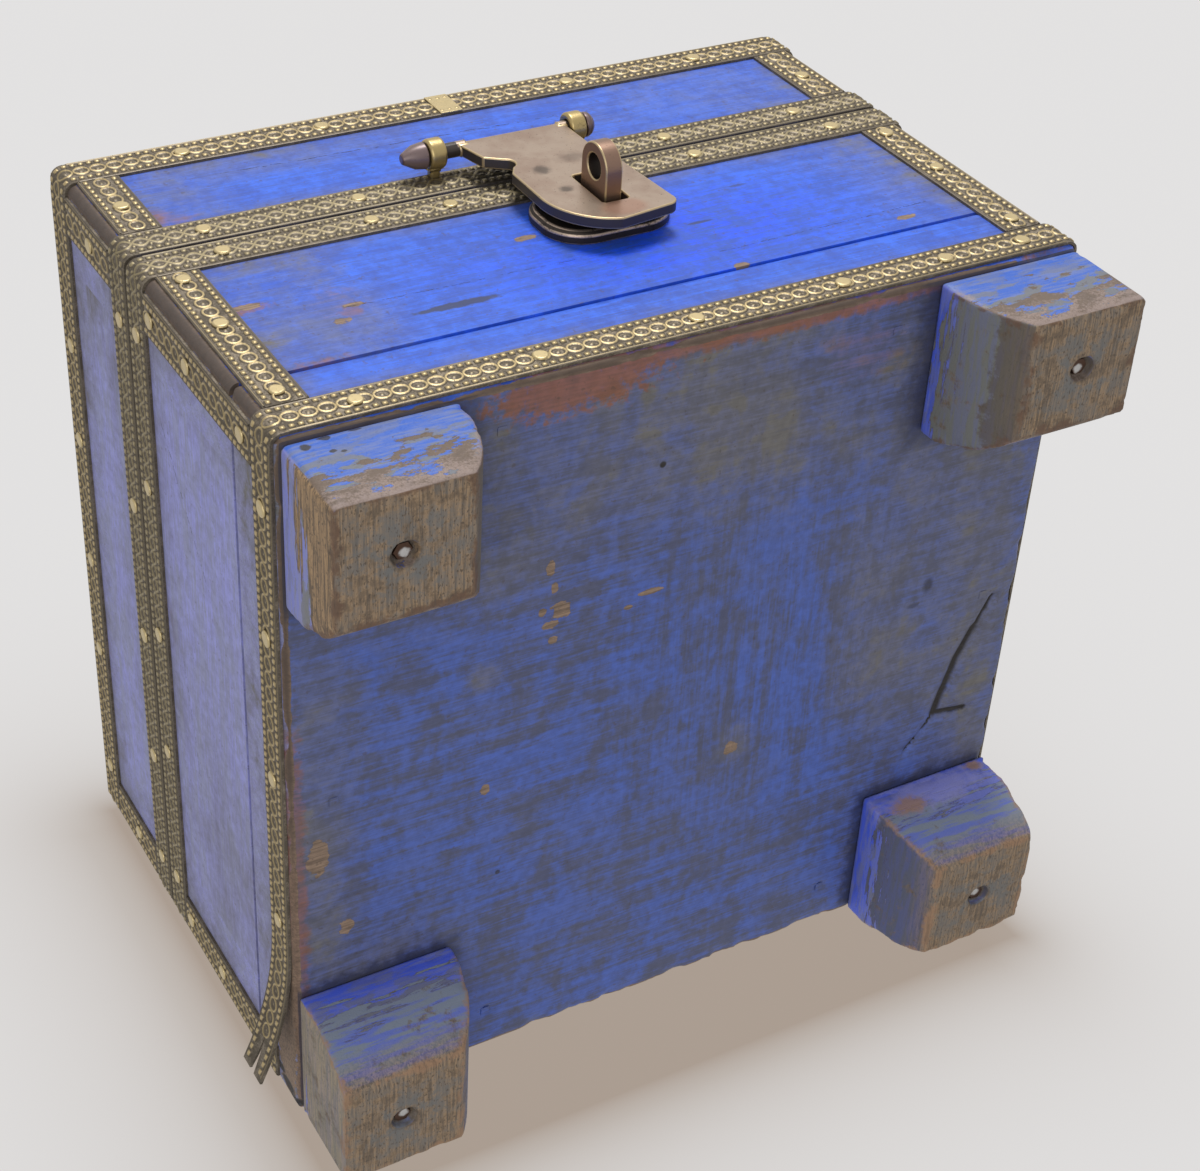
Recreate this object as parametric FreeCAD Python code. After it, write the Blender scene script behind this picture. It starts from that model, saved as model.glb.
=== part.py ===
import FreeCAD, Part
import math
import os

Vector = FreeCAD.Vector

# Box without its feet: the front looks along -Y, and z = 0 is the ground under the feet
box_width = 184.0
box_depth = 177.0
body_height = 75.0
lid_height = 45.7
lid_gap = 0.3
corner_radius = 2.0
arris_bevel = 0.9

# Boards
front_thickness = 19.5
back_thickness = 23.0
side_thickness = 19.5
bottom_thickness = 22.0
lid_top_thickness = 17.0

# Block feet
foot_height = 22.8
foot_base = 36.0
foot_inset = 0.6
foot_straight = 2.4
foot_sole_inset_x = 7.6
foot_sole_inset_y = 8.4
foot_edge_radius = 1.6
foot_recess_radius = 3.1
foot_recess_depth = 2.2

# Brass strips
strip_width = 9.2
strip_thickness = 0.6
seam_margin = 0.4
lid_top_margin = 0.5
bottom_margin = 1.5
upright_margin = 2.2
upright_gap = 0.3
belt_end_margin = 1.0
clip_width = 5.5
clip_thickness = 0.4
clip_share = 0.495

# Loose end of the bottom strip on the left side
loose_start_share = 0.72
loose_length = 37.0
loose_lift = 8.0
loose_slit_length = 9.0
loose_slit_opening = 1.6

# Nails of the strips, with square shanks that taper to a point
nail_head_radius = 1.85
nail_head_height = 0.7
nail_crown_radius = 1.4
nail_head_sides = 6
nail_shank = 1.1
nail_length = 9.0

# Nails of the feet
foot_nail_head_radius = 2.3
foot_nail_head_height = 0.9
foot_nail_crown_radius = 1.9
foot_nail_shank = 2.2
foot_nail_length = 36.0

# Flush brads that hold the boards together
brad_side = 2.0
brad_bite = 16.0

# Back hinges
leaf_width = 34.0
leaf_height = 15.0
leaf_thickness = 1.2
leaf_corner_cut = 2.5
knuckle_count = 3
knuckle_radius = 2.4
knuckle_gap = 0.3
swing_clearance = 0.3
hinge_pin_radius = 1.2
hinge_pin_clearance = 0.05
hinge_place_share = 0.27

# Staple with its base on the front board
staple_shift = 4.7
staple_width = 10.5
staple_thickness = 4.0
staple_neck = 9.2
staple_hole_radius = 2.8
staple_tang_width = 6.0
staple_tang_thickness = 3.0
staple_tang_depth = 15.0
staple_base_width = 30.0
staple_base_height = 21.0
staple_base_thickness = 3.0
staple_base_corner = 9.0
staple_base_bevel = 1.0
staple_base_gap = 1.7

# Hasp plate and the two eyes that carry it
hasp_width = 26.5
hasp_thickness = 2.6
hasp_back_gap = 0.8
hasp_axis_rise = 8.7
hasp_rim = 7.7
slot_side_clearance = 1.1
slot_low_clearance = 1.5
slot_high_clearance = 2.0
slot_corner_cut = 0.5
trunnion_radius = 1.7
trunnion_clearance = 0.08
hasp_bullet_radius = 3.0
hasp_bullet_length = 5.6
hasp_bullet_shoulder_radius = 2.6
hasp_bullet_shoulder_share = 0.5
hasp_bullet_tip = 1.1
hasp_button_radius = 2.8
hasp_button_length = 2.4
hasp_button_bevel = 1.2
hasp_end_sides = 12
eye_left_neck = 3.4
eye_right_neck = 0.5
eye_end_gap = 0.3
eye_width = 3.9
eye_wall = 1.6
eye_stand_off = 1.2
eye_shank_side = 2.4
eye_shank_depth = 14.0
belt_notch_clearance = 0.3

# How far a cutting tool reaches past what it cuts
overrun = 5.0

# Nail places along the front, from the left corner, and along a side, from the front corner
front_bottom_nail_shares = (0.10, 0.31, 0.50, 0.69, 0.83, 0.94)
front_body_top_nail_shares = (0.10, 0.28, 0.38, 0.71, 0.91)
front_lid_bottom_nail_shares = (0.10, 0.29, 0.70, 0.89)
front_lid_top_nail_shares = (0.15, 0.33, 0.67, 0.86)
side_bottom_nail_shares = (0.10, 0.27, 0.47, 0.69, 0.93)
side_body_top_nail_shares = (0.08, 0.29, 0.51, 0.70, 0.92)
side_lid_bottom_nail_shares = (0.09, 0.35, 0.55, 0.75, 0.93)
side_lid_top_nail_shares = (0.23, 0.37, 0.56, 0.71, 0.92)
body_upright_nail_shares = (0.08, 0.58, 0.94)
lid_upright_nail_shares = (0.45,)

# Brad places along a wall's height, along the front and back, and along the sides
wall_brad_shares = (0.5,)
board_brad_shares = (0.25, 0.75)
side_brad_shares = (0.5,)

# Hinge nail places on a leaf
leaf_nail_across_shares = (0.2, 0.8)
leaf_nail_up_share = 0.62
staple_nail_share = 0.34

# Hasp outline: across from the plate's left edge in plate widths, down from the axis in plate lengths
staple_across_share = 0.532
head_top_left_share = (-0.166, -0.013)
head_low_left_share = (-0.083, 0.186)
notch_in_top_share = (0.060, 0.243)
notch_in_share = (0.113, 0.288)
notch_in_low_share = (0.060, 0.330)
plate_top_left_share = (0.000, 0.389)
sweep_start_share = (0.000, 0.640)
sweep_middle_share = (0.110, 0.868)
sweep_end_share = (0.430, 1.000)
bottom_right_share = (0.890, 0.962)
corner_right_share = (0.966, 0.940)
right_low_share = (0.985, 0.885)
plate_top_right_share = (0.920, 0.400)
step_right_share = (0.848, 0.240)
head_top_right_share = (0.835, -0.013)

# Planes and places worked out from the sizes above
left = -box_width / 2
right = box_width / 2
front = -box_depth / 2
back = box_depth / 2
box_floor = foot_height
seam = box_floor + body_height
lid_floor = seam + lid_gap
box_top = lid_floor + lid_height
wall_floor = box_floor + bottom_thickness
rail_top = box_top - lid_top_thickness

body_bottom_belt_z = box_floor + bottom_margin
body_top_belt_z = seam - seam_margin - strip_width
lid_bottom_belt_z = lid_floor + seam_margin
lid_top_belt_z = box_top - lid_top_margin - strip_width

hinge_y = back + knuckle_radius + swing_clearance
hinge_z = seam + lid_gap / 2

staple_z = body_top_belt_z - staple_base_gap - staple_base_height / 2
staple_eye_out = staple_base_thickness + staple_neck
eye_bore_radius = trunnion_radius + trunnion_clearance
eye_outer_radius = eye_bore_radius + eye_wall
hasp_over_base = staple_base_thickness + nail_head_height + hasp_back_gap + hasp_thickness / 2
eye_over_belt = strip_thickness + eye_stand_off + eye_outer_radius
hasp_out = max(hasp_over_base, eye_over_belt)
hasp_y = front - hasp_out
hasp_z = lid_floor + hasp_axis_rise
slot_low = staple_z - staple_width / 2 - slot_low_clearance
slot_high = staple_z + staple_width / 2 + slot_high_clearance
slot_width = staple_thickness + 2 * slot_side_clearance
hasp_length = hasp_z - slot_low + hasp_rim
hasp_left = staple_shift - staple_across_share * hasp_width


def block(x0, x1, y0, y1, z0, z1):
    """A box between two limits on each axis."""
    return Part.makeBox(x1 - x0, y1 - y0, z1 - z0, Vector(x0, y0, z0))


def upright_edges(solid):
    """The edges of a solid that stand along Z."""
    return [e for e in solid.Edges if abs(e.tangentAt(e.FirstParameter).z) > math.cos(math.radians(1))]


def plan_prism(margin, z0, z1):
    """The box's plan, grown by a margin and with rounded corners, between two heights."""
    solid = block(left - margin, right + margin, front - margin, back + margin, z0, z1)
    return solid.makeFillet(corner_radius + margin, upright_edges(solid))


def box_envelope():
    """The outside of the closed box: rounded corners, bevelled top and bottom arrises."""
    solid = plan_prism(0, box_floor, box_top)
    rims = [e for e in solid.Edges if e.BoundBox.ZLength < arris_bevel]
    return solid.makeChamfer(arris_bevel, rims)


def rod_x(radius, x0, x1, y, z):
    """A round rod along X."""
    return Part.makeCylinder(radius, x1 - x0, Vector(x0, y, z), Vector(1, 0, 0))


def bored(solid, cutters):
    """The solid with every cutter that reaches it taken away."""
    near = [c for c in cutters if c.BoundBox.intersect(solid.BoundBox)]
    if not near:
        return solid
    return solid.cut(Part.makeCompound(near))


def along(start, end, share):
    """The place at a share of the way from start to end."""
    return start + share * (end - start)


def set_at(shape, point, outward):
    """A copy of a nail or shank, drawn along +Z, with its head turned outward at a point."""
    placed = shape.copy()
    placed.Placement = FreeCAD.Placement(point, FreeCAD.Rotation(Vector(0, 0, 1), outward))
    return placed


def hammered_ring(radius, sides, z):
    """The many-sided outline of a hammered or filed end, or of the hole it makes, at one height."""
    turns = [2 * math.pi * i / sides for i in range(sides + 1)]
    return Part.makePolygon([Vector(radius * math.cos(a), radius * math.sin(a), z) for a in turns])


def tapered_shank(side, length):
    """A square shank that hangs below z = 0 and tapers to a point."""
    half = side / 2
    square = [Vector(-half, -half, 0), Vector(half, -half, 0), Vector(half, half, 0), Vector(-half, half, 0)]
    top = Part.makePolygon(square + square[:1])
    return Part.makeLoft([top, Part.Vertex(0, 0, -length)], True, True)


def hammered_nail(head_radius, crown_radius, head_height, shank_side, length):
    """A nail drawn along +Z: a low hammered head that narrows to a flat crown, on a tapered shank."""
    base = hammered_ring(head_radius, nail_head_sides, 0)
    crown = hammered_ring(crown_radius, nail_head_sides, head_height)
    return Part.makeLoft([base, crown], True, True).fuse(tapered_shank(shank_side, length))


def nail_set(places):
    """Round-headed nails at the given points, and the shanks that their holes follow."""
    nail = hammered_nail(nail_head_radius, nail_crown_radius, nail_head_height, nail_shank, nail_length)
    shank = tapered_shank(nail_shank, nail_length)
    nails = [set_at(nail, point, outward) for point, outward in places]
    shanks = [set_at(shank, point, outward) for point, outward in places]
    return nails, shanks


def belt_nail_places(belt_z, front_shares, left_shares, right_shares):
    """Nail points on one belt: along the front, the left side and the right side."""
    z = belt_z + strip_width / 2
    skin = strip_thickness
    places = [(Vector(along(left, right, s), front - skin, z), Vector(0, -1, 0)) for s in front_shares]
    places += [(Vector(left - skin, along(front, back, s), z), Vector(-1, 0, 0)) for s in left_shares]
    places += [(Vector(right + skin, along(front, back, s), z), Vector(1, 0, 0)) for s in right_shares]
    return places


def upright_faces():
    """Where the six upright strips stand: name, middle of the strip on its face, and the way it faces."""
    centre = upright_margin + strip_width / 2
    return [
        ("front_left", Vector(left + centre, front, 0), Vector(0, -1, 0)),
        ("front_right", Vector(right - centre, front, 0), Vector(0, -1, 0)),
        ("left_front", Vector(left, front + centre, 0), Vector(-1, 0, 0)),
        ("left_back", Vector(left, back - centre, 0), Vector(-1, 0, 0)),
        ("right_front", Vector(right, front + centre, 0), Vector(1, 0, 0)),
        ("right_back", Vector(right, back - centre, 0), Vector(1, 0, 0)),
    ]


def upright_strip(place, outward, z0, z1):
    """A flat strip that stands on a face of the box between two belts."""
    across = Vector(abs(outward.y), abs(outward.x), 0) * (strip_width / 2)
    outer = place + outward * strip_thickness
    x0, x1 = sorted((place.x, outer.x))
    y0, y1 = sorted((place.y, outer.y))
    return block(x0 - across.x, x1 + across.x, y0 - across.y, y1 + across.y, z0, z1)


def upright_nail_places(z0, z1, shares):
    """Nail points on all six upright strips between two heights."""
    places = []
    for name, place, outward in upright_faces():
        for share in shares:
            point = place + outward * strip_thickness + Vector(0, 0, along(z0, z1, share))
            places.append((point, outward))
    return places


def belt(belt_z):
    """A strip round the front and both sides, bent round the front corners and ending at the back edges."""
    low, high = belt_z - overrun, belt_z + strip_width + overrun
    band = plan_prism(strip_thickness, belt_z, belt_z + strip_width)
    open_back = block(left - overrun, right + overrun, back - belt_end_margin, back + overrun, low, high)
    return band.cut(plan_prism(0, low, high)).cut(open_back)


def loose_end(start_y, belt_z):
    """The sprung end of the bottom strip: it curls away from the side board, and its tip is split in two."""
    radius = (loose_length ** 2 + loose_lift ** 2) / (2 * loose_lift)
    turn = math.degrees(math.asin(loose_length / radius))
    centre = Vector(left - radius, start_y, belt_z)
    outer = Part.makeCylinder(radius, strip_width, centre, Vector(0, 0, 1), turn)
    inner = Part.makeCylinder(radius - strip_thickness, strip_width, centre, Vector(0, 0, 1))
    tip_y = start_y + loose_length
    middle_z = belt_z + strip_width / 2
    slit = Part.makePolygon([
        Vector(left - overrun - loose_lift, tip_y - loose_slit_length, middle_z),
        Vector(left - overrun - loose_lift, tip_y + overrun, middle_z + loose_slit_opening),
        Vector(left - overrun - loose_lift, tip_y + overrun, middle_z - loose_slit_opening),
        Vector(left - overrun - loose_lift, tip_y - loose_slit_length, middle_z),
    ])
    wedge = Part.Face(slit).extrude(Vector(loose_lift + 2 * overrun, 0, 0))
    return outer.cut(inner).cut(wedge)


def bottom_belt():
    """The bottom strip, seated on the front and right and along most of the left, with its loose end."""
    start_y = along(front, back, loose_start_share)
    low = body_bottom_belt_z - overrun
    high = body_bottom_belt_z + strip_width + overrun
    missing = block(left - overrun, left + overrun, start_y, back + overrun, low, high)
    seated = belt(body_bottom_belt_z).cut(missing)
    return seated.fuse(loose_end(start_y, body_bottom_belt_z)).removeSplitter()


def foot_profile(inset):
    """Side view of a foot from its outer face inwards: upright at the base, then curving in to the sole."""
    drop = foot_height - foot_straight
    radius = (inset ** 2 + drop ** 2) / (2 * inset)
    half_turn = math.asin(drop / radius) / 2
    sole = foot_base - inset
    middle = (foot_base - radius + radius * math.cos(half_turn), drop - radius * math.sin(half_turn))
    return sole, middle, drop


def foot_side(inset, across, inward):
    """A foot's side view, drawn along inward and carried the foot's whole width along across."""
    sole, middle, drop = foot_profile(inset)
    up = Vector(0, 0, 1)
    corners = [
        Vector(0, 0, 0),
        inward * sole,
        inward * foot_base + up * drop,
        inward * foot_base + up * foot_height,
        up * foot_height,
    ]
    curve = Part.Arc(corners[1], inward * middle[0] + up * middle[1], corners[2]).toShape()
    lines = [
        Part.LineSegment(corners[0], corners[1]).toShape(),
        curve,
        Part.LineSegment(corners[2], corners[3]).toShape(),
        Part.LineSegment(corners[3], corners[4]).toShape(),
        Part.LineSegment(corners[4], corners[0]).toShape(),
    ]
    return Part.Face(Part.Wire(lines)).extrude(across * foot_base)


def sole_centre():
    """Centre of the front left sole, measured from the foot's outer corner."""
    return Vector((foot_base - foot_sole_inset_x) / 2, (foot_base - foot_sole_inset_y) / 2, 0)


def front_left_foot():
    """Block foot with plumb outer faces, inner faces that curve in to the sole, and a recess for its nail."""
    x_view = foot_side(foot_sole_inset_x, Vector(0, 1, 0), Vector(1, 0, 0))
    y_view = foot_side(foot_sole_inset_y, Vector(1, 0, 0), Vector(0, 1, 0))
    solid = x_view.common(y_view)
    corner = [e for e in upright_edges(solid) if e.CenterOfMass.x + e.CenterOfMass.y < foot_edge_radius]
    solid = solid.makeFillet(foot_edge_radius, corner)
    mouth = Part.Face(hammered_ring(foot_recess_radius, nail_head_sides, foot_recess_depth))
    mouth.translate(sole_centre())
    solid = solid.cut(mouth.extrude(Vector(0, 0, -foot_recess_depth - overrun)))
    solid.translate(Vector(left + foot_inset, front + foot_inset, 0))
    return solid


def build_feet():
    """Four feet and their nails, mirrored from the front left one."""
    foot = front_left_foot()
    centre = sole_centre() + Vector(left + foot_inset, front + foot_inset, foot_recess_depth)
    nail = hammered_nail(
        foot_nail_head_radius, foot_nail_crown_radius, foot_nail_head_height,
        foot_nail_shank, foot_nail_length,
    )
    nail = set_at(nail, centre, Vector(0, 0, -1))
    shank = set_at(tapered_shank(foot_nail_shank, foot_nail_length), centre, Vector(0, 0, -1))
    foot = foot.cut(shank)
    feet, nails, shanks = {}, [], []
    for depth_name, flip_y in (("front", False), ("back", True)):
        for side_name, flip_x in (("left", False), ("right", True)):
            copies = [foot, nail, shank]
            if flip_x:
                copies = [c.mirror(Vector(0, 0, 0), Vector(1, 0, 0)) for c in copies]
            if flip_y:
                copies = [c.mirror(Vector(0, 0, 0), Vector(0, 1, 0)) for c in copies]
            feet["foot_" + depth_name + "_" + side_name] = copies[0]
            nails.append(copies[1])
            shanks.append(copies[2])
    return feet, nails, shanks


def wall_blocks(z0, z1):
    """Front, back, left and right walls between two heights: the front and back cover the sides' ends."""
    inner_front = front + front_thickness
    inner_back = back - back_thickness
    return {
        "front": block(left, right, front, inner_front, z0, z1),
        "back": block(left, right, inner_back, back, z0, z1),
        "left": block(left, left + side_thickness, inner_front, inner_back, z0, z1),
        "right": block(right - side_thickness, right, inner_front, inner_back, z0, z1),
    }


def wall_brads(z0, z1):
    """Brads through the front and back walls into the ends of the side walls."""
    brads = []
    for x in (left + side_thickness / 2, right - side_thickness / 2):
        for share in wall_brad_shares:
            z = along(z0, z1, share)
            front_brad = tapered_shank(brad_side, front_thickness + brad_bite)
            back_brad = tapered_shank(brad_side, back_thickness + brad_bite)
            brads.append(set_at(front_brad, Vector(x, front, z), Vector(0, -1, 0)))
            brads.append(set_at(back_brad, Vector(x, back, z), Vector(0, 1, 0)))
    return brads


def flat_board_brads(z, thickness, outward):
    """Brads through the bottom or the lid's top board into the four walls."""
    brad = tapered_shank(brad_side, thickness + brad_bite)
    spots = []
    for share in board_brad_shares:
        spots.append((along(left, right, share), front + front_thickness / 2))
        spots.append((along(left, right, share), back - back_thickness / 2))
    for share in side_brad_shares:
        spots.append((left + side_thickness / 2, along(front, back, share)))
        spots.append((right - side_thickness / 2, along(front, back, share)))
    return [set_at(brad, Vector(x, y, z), outward) for x, y in spots]


def hinge_spans(centre_x):
    """The knuckles of a hinge along X, from its left end to its right end."""
    pitch = (leaf_width + knuckle_gap) / knuckle_count
    starts = [centre_x - leaf_width / 2 + i * pitch for i in range(knuckle_count)]
    return [(start, start + pitch - knuckle_gap) for start in starts]


def hinge_leaf(centre_x, upward):
    """One leaf of a butt hinge on the back: the body's has the outer knuckles, the lid's the middle one."""
    spans = hinge_spans(centre_x)
    own, other = (spans[1::2], spans[0::2]) if upward else (spans[0::2], spans[1::2])
    near, far = hinge_z + lid_gap / 2, hinge_z + leaf_height
    if not upward:
        near, far = hinge_z - leaf_height, hinge_z - lid_gap / 2
    leaf = block(centre_x - leaf_width / 2, centre_x + leaf_width / 2, back, back + leaf_thickness, near, far)
    outer_z = far if upward else near
    corners = [
        e for e in leaf.Edges
        if e.BoundBox.YLength > leaf_thickness / 2 and abs(e.CenterOfMass.z - outer_z) < leaf_thickness
    ]
    leaf = leaf.makeChamfer(leaf_corner_cut, corners)
    for x0, x1 in own:
        leaf = leaf.fuse(rod_x(knuckle_radius, x0, x1, hinge_y, hinge_z))
    for x0, x1 in other:
        room = rod_x(knuckle_radius + swing_clearance, x0 - knuckle_gap, x1 + knuckle_gap, hinge_y, hinge_z)
        leaf = leaf.cut(room)
    bore = hinge_pin_radius + hinge_pin_clearance
    return leaf.cut(rod_x(bore, spans[0][0] - overrun, spans[-1][1] + overrun, hinge_y, hinge_z))


def hinge_pin(centre_x):
    """A hinge pin, flush with the ends of the outer knuckles."""
    return rod_x(hinge_pin_radius, centre_x - leaf_width / 2, centre_x + leaf_width / 2, hinge_y, hinge_z)


def leaf_nail_places(centre_x, upward):
    """Nail points on one hinge leaf."""
    way = 1 if upward else -1
    z = hinge_z + way * leaf_nail_up_share * leaf_height
    first = centre_x - leaf_width / 2
    return [
        (Vector(along(first, first + leaf_width, s), back + leaf_thickness, z), Vector(0, 1, 0))
        for s in leaf_nail_across_shares
    ]


def staple_base():
    """Rounded base plate of the staple, with a bevelled front rim."""
    x0 = staple_shift - staple_base_width / 2
    z0 = staple_z - staple_base_height / 2
    plate = block(
        x0, x0 + staple_base_width, front - staple_base_thickness, front, z0, z0 + staple_base_height
    )
    corners = [e for e in plate.Edges if e.BoundBox.YLength > staple_base_thickness / 2]
    plate = plate.makeFillet(staple_base_corner, corners)
    face_y = front - staple_base_thickness
    rim = [e for e in plate.Edges if e.BoundBox.YMax < face_y + staple_base_thickness / 2]
    return plate.makeChamfer(staple_base_bevel, rim)


def staple_tang():
    """The tang that is driven through the base into the front board."""
    return block(
        staple_shift - staple_tang_thickness / 2, staple_shift + staple_tang_thickness / 2,
        front - staple_base_thickness, front + staple_tang_depth,
        staple_z - staple_tang_width / 2, staple_z + staple_tang_width / 2,
    )


def staple():
    """A flat eye that stands out of its base, round at the end and pierced for a padlock."""
    x0 = staple_shift - staple_thickness / 2
    x1 = staple_shift + staple_thickness / 2
    eye_y = front - staple_eye_out
    neck = block(
        x0, x1, eye_y, front - staple_base_thickness, staple_z - staple_width / 2, staple_z + staple_width / 2
    )
    eye = rod_x(staple_width / 2, x0, x1, eye_y, staple_z)
    hole = rod_x(staple_hole_radius, x0 - overrun, x1 + overrun, eye_y, staple_z)
    return neck.fuse(eye).fuse(staple_tang()).cut(hole).removeSplitter()


def staple_nail_places():
    """Nail points on the staple's base, behind the hasp."""
    reach = staple_nail_share * staple_base_width
    y = front - staple_base_thickness
    return [(Vector(x, y, staple_z), Vector(0, -1, 0)) for x in (staple_shift - reach, staple_shift + reach)]


def hasp_point(share):
    """A point of the hasp's outline on the plate's back face."""
    across, down = share
    return Vector(hasp_left + across * hasp_width, hasp_y + hasp_thickness / 2, hasp_z - down * hasp_length)


def hasp_line(first_share, second_share):
    """A straight stretch of the hasp's outline."""
    return Part.LineSegment(hasp_point(first_share), hasp_point(second_share)).toShape()


def hasp_arc(first_share, middle_share, last_share):
    """A round stretch of the hasp's outline."""
    return Part.Arc(hasp_point(first_share), hasp_point(middle_share), hasp_point(last_share)).toShape()


def hasp_slot():
    """The slot that drops over the staple."""
    x0 = staple_shift - slot_width / 2
    slot = block(
        x0, x0 + slot_width, hasp_y - hasp_thickness / 2 - overrun, hasp_y + hasp_thickness / 2 + overrun,
        slot_low, slot_high,
    )
    corners = [e for e in slot.Edges if e.BoundBox.YLength > overrun]
    return slot.makeChamfer(slot_corner_cut, corners)


def hasp_outline_plate():
    """Flat plate: a wide head, a round notch on the left, a step on the right, a swept lower left corner."""
    edges = [
        hasp_line(head_top_left_share, head_low_left_share),
        hasp_line(head_low_left_share, notch_in_top_share),
        hasp_arc(notch_in_top_share, notch_in_share, notch_in_low_share),
        hasp_line(notch_in_low_share, plate_top_left_share),
        hasp_line(plate_top_left_share, sweep_start_share),
        hasp_arc(sweep_start_share, sweep_middle_share, sweep_end_share),
        hasp_line(sweep_end_share, bottom_right_share),
        hasp_arc(bottom_right_share, corner_right_share, right_low_share),
        hasp_line(right_low_share, plate_top_right_share),
        hasp_line(plate_top_right_share, step_right_share),
        hasp_line(step_right_share, head_top_right_share),
        hasp_line(head_top_right_share, head_top_left_share),
    ]
    return Part.Face(Part.Wire(edges)).extrude(Vector(0, -hasp_thickness, 0))


def eye_centres():
    """Where the two eyes stand along X, outside the hasp's head."""
    left_eye = hasp_point(head_top_left_share).x - eye_left_neck - eye_width / 2
    right_eye = hasp_point(head_top_right_share).x + eye_right_neck + eye_width / 2
    return left_eye, right_eye


def filed_end(steps, start_x, outward):
    """A many-sided end of a trunnion through (radius, distance) steps, which keeps it in its eye."""
    rings = [hammered_ring(radius, hasp_end_sides, distance) for radius, distance in steps]
    return set_at(Part.makeLoft(rings, True, True), Vector(start_x, hasp_y, hasp_z), outward)


def hasp_bullet(start_x):
    """The bullet-shaped end of the left trunnion."""
    steps = (
        (hasp_bullet_radius, 0),
        (hasp_bullet_shoulder_radius, hasp_bullet_shoulder_share * hasp_bullet_length),
        (hasp_bullet_tip, hasp_bullet_length),
    )
    return filed_end(steps, start_x, Vector(-1, 0, 0))


def hasp_button(start_x):
    """The bevelled button on the right trunnion."""
    steps = (
        (hasp_button_radius, 0),
        (hasp_button_radius, hasp_button_length - hasp_button_bevel),
        (hasp_button_radius - hasp_button_bevel, hasp_button_length),
    )
    return filed_end(steps, start_x, Vector(1, 0, 0))


def hasp():
    """The hasp plate with its slot, two trunnions, the bullet end on the left and the button on the right."""
    left_eye, right_eye = eye_centres()
    reach = eye_width / 2 + eye_end_gap
    left_end = left_eye - reach
    right_end = right_eye + reach
    head_left = hasp_point(head_low_left_share).x
    head_right = hasp_point(head_top_right_share).x - trunnion_radius
    solid = hasp_outline_plate().cut(hasp_slot())
    solid = solid.fuse(rod_x(trunnion_radius, left_end, head_left, hasp_y, hasp_z))
    solid = solid.fuse(rod_x(trunnion_radius, head_right, right_end, hasp_y, hasp_z))
    return solid.fuse(hasp_bullet(left_end)).fuse(hasp_button(right_end)).removeSplitter()


def eye_shank(x, clearance):
    """The square shank of an eye, from inside the ring's back into the lid's front rail."""
    half = eye_shank_side / 2 + clearance
    start = hasp_y + (eye_bore_radius + eye_outer_radius) / 2
    return block(x - half, x + half, start, front + eye_shank_depth, hasp_z - half, hasp_z + half)


def hasp_eye(x):
    """A ring that carries one trunnion, on a shank driven into the lid."""
    ring = rod_x(eye_outer_radius, x - eye_width / 2, x + eye_width / 2, hasp_y, hasp_z)
    bore = rod_x(eye_bore_radius, x - eye_width, x + eye_width, hasp_y, hasp_z)
    return ring.fuse(eye_shank(x, 0)).cut(bore)


def belt_clip():
    """The plain brass lap across the lid's top strip."""
    x = along(left, right, clip_share)
    skin = front - strip_thickness
    return block(
        x - clip_width / 2, x + clip_width / 2, skin - clip_thickness, skin,
        lid_top_belt_z, lid_top_belt_z + strip_width,
    )


def build_body():
    """Every piece that stands still."""
    nodes, foot_nails, foot_shanks = build_feet()
    z0 = body_bottom_belt_z + strip_width + upright_gap
    z1 = body_top_belt_z - upright_gap
    seated_shares = [s for s in side_bottom_nail_shares if s < loose_start_share]
    places = belt_nail_places(
        body_bottom_belt_z, front_bottom_nail_shares, seated_shares, side_bottom_nail_shares
    )
    places += belt_nail_places(
        body_top_belt_z, front_body_top_nail_shares, side_body_top_nail_shares, side_body_top_nail_shares
    )
    places += upright_nail_places(z0, z1, body_upright_nail_shares)
    strip_nails, strip_shanks = nail_set(places)
    staple_nails, staple_shanks = nail_set(staple_nail_places())
    hinge_xs = (along(left, right, hinge_place_share), along(right, left, hinge_place_share))
    hinge_nails, hinge_shanks = nail_set([p for x in hinge_xs for p in leaf_nail_places(x, False)])
    brads = wall_brads(wall_floor, seam)
    brads += flat_board_brads(box_floor, bottom_thickness, Vector(0, 0, -1))
    shanks = strip_shanks + staple_shanks + hinge_shanks
    cutters = shanks + brads + foot_shanks + [staple_tang()]

    envelope = box_envelope()
    boards = wall_blocks(wall_floor, seam)
    boards["bottom"] = block(left, right, front, back, box_floor, wall_floor)
    names = {"left": "left_side_board", "right": "right_side_board"}
    for name, solid in boards.items():
        nodes[names.get(name, name + "_board")] = bored(solid.common(envelope), cutters)
    nodes["body_bottom_belt"] = bored(bottom_belt(), shanks)
    nodes["body_top_belt"] = bored(belt(body_top_belt_z), shanks)
    for name, place, outward in upright_faces():
        nodes["body_strip_" + name] = bored(upright_strip(place, outward, z0, z1), shanks)
    nodes["staple_base"] = bored(staple_base(), shanks + [staple_tang()])
    nodes["staple"] = staple()
    for name, x in zip(("left_hinge_", "right_hinge_"), hinge_xs):
        nodes[name + "body_leaf"] = bored(hinge_leaf(x, False), hinge_shanks)
        nodes[name + "pin"] = hinge_pin(x)
    nodes["body_strip_nails"] = Part.makeCompound(strip_nails)
    nodes["staple_nails"] = Part.makeCompound(staple_nails)
    nodes["body_hinge_nails"] = Part.makeCompound(hinge_nails)
    nodes["foot_nails"] = Part.makeCompound(foot_nails)
    nodes["carcass_brads"] = Part.makeCompound(brads)
    return nodes


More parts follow.
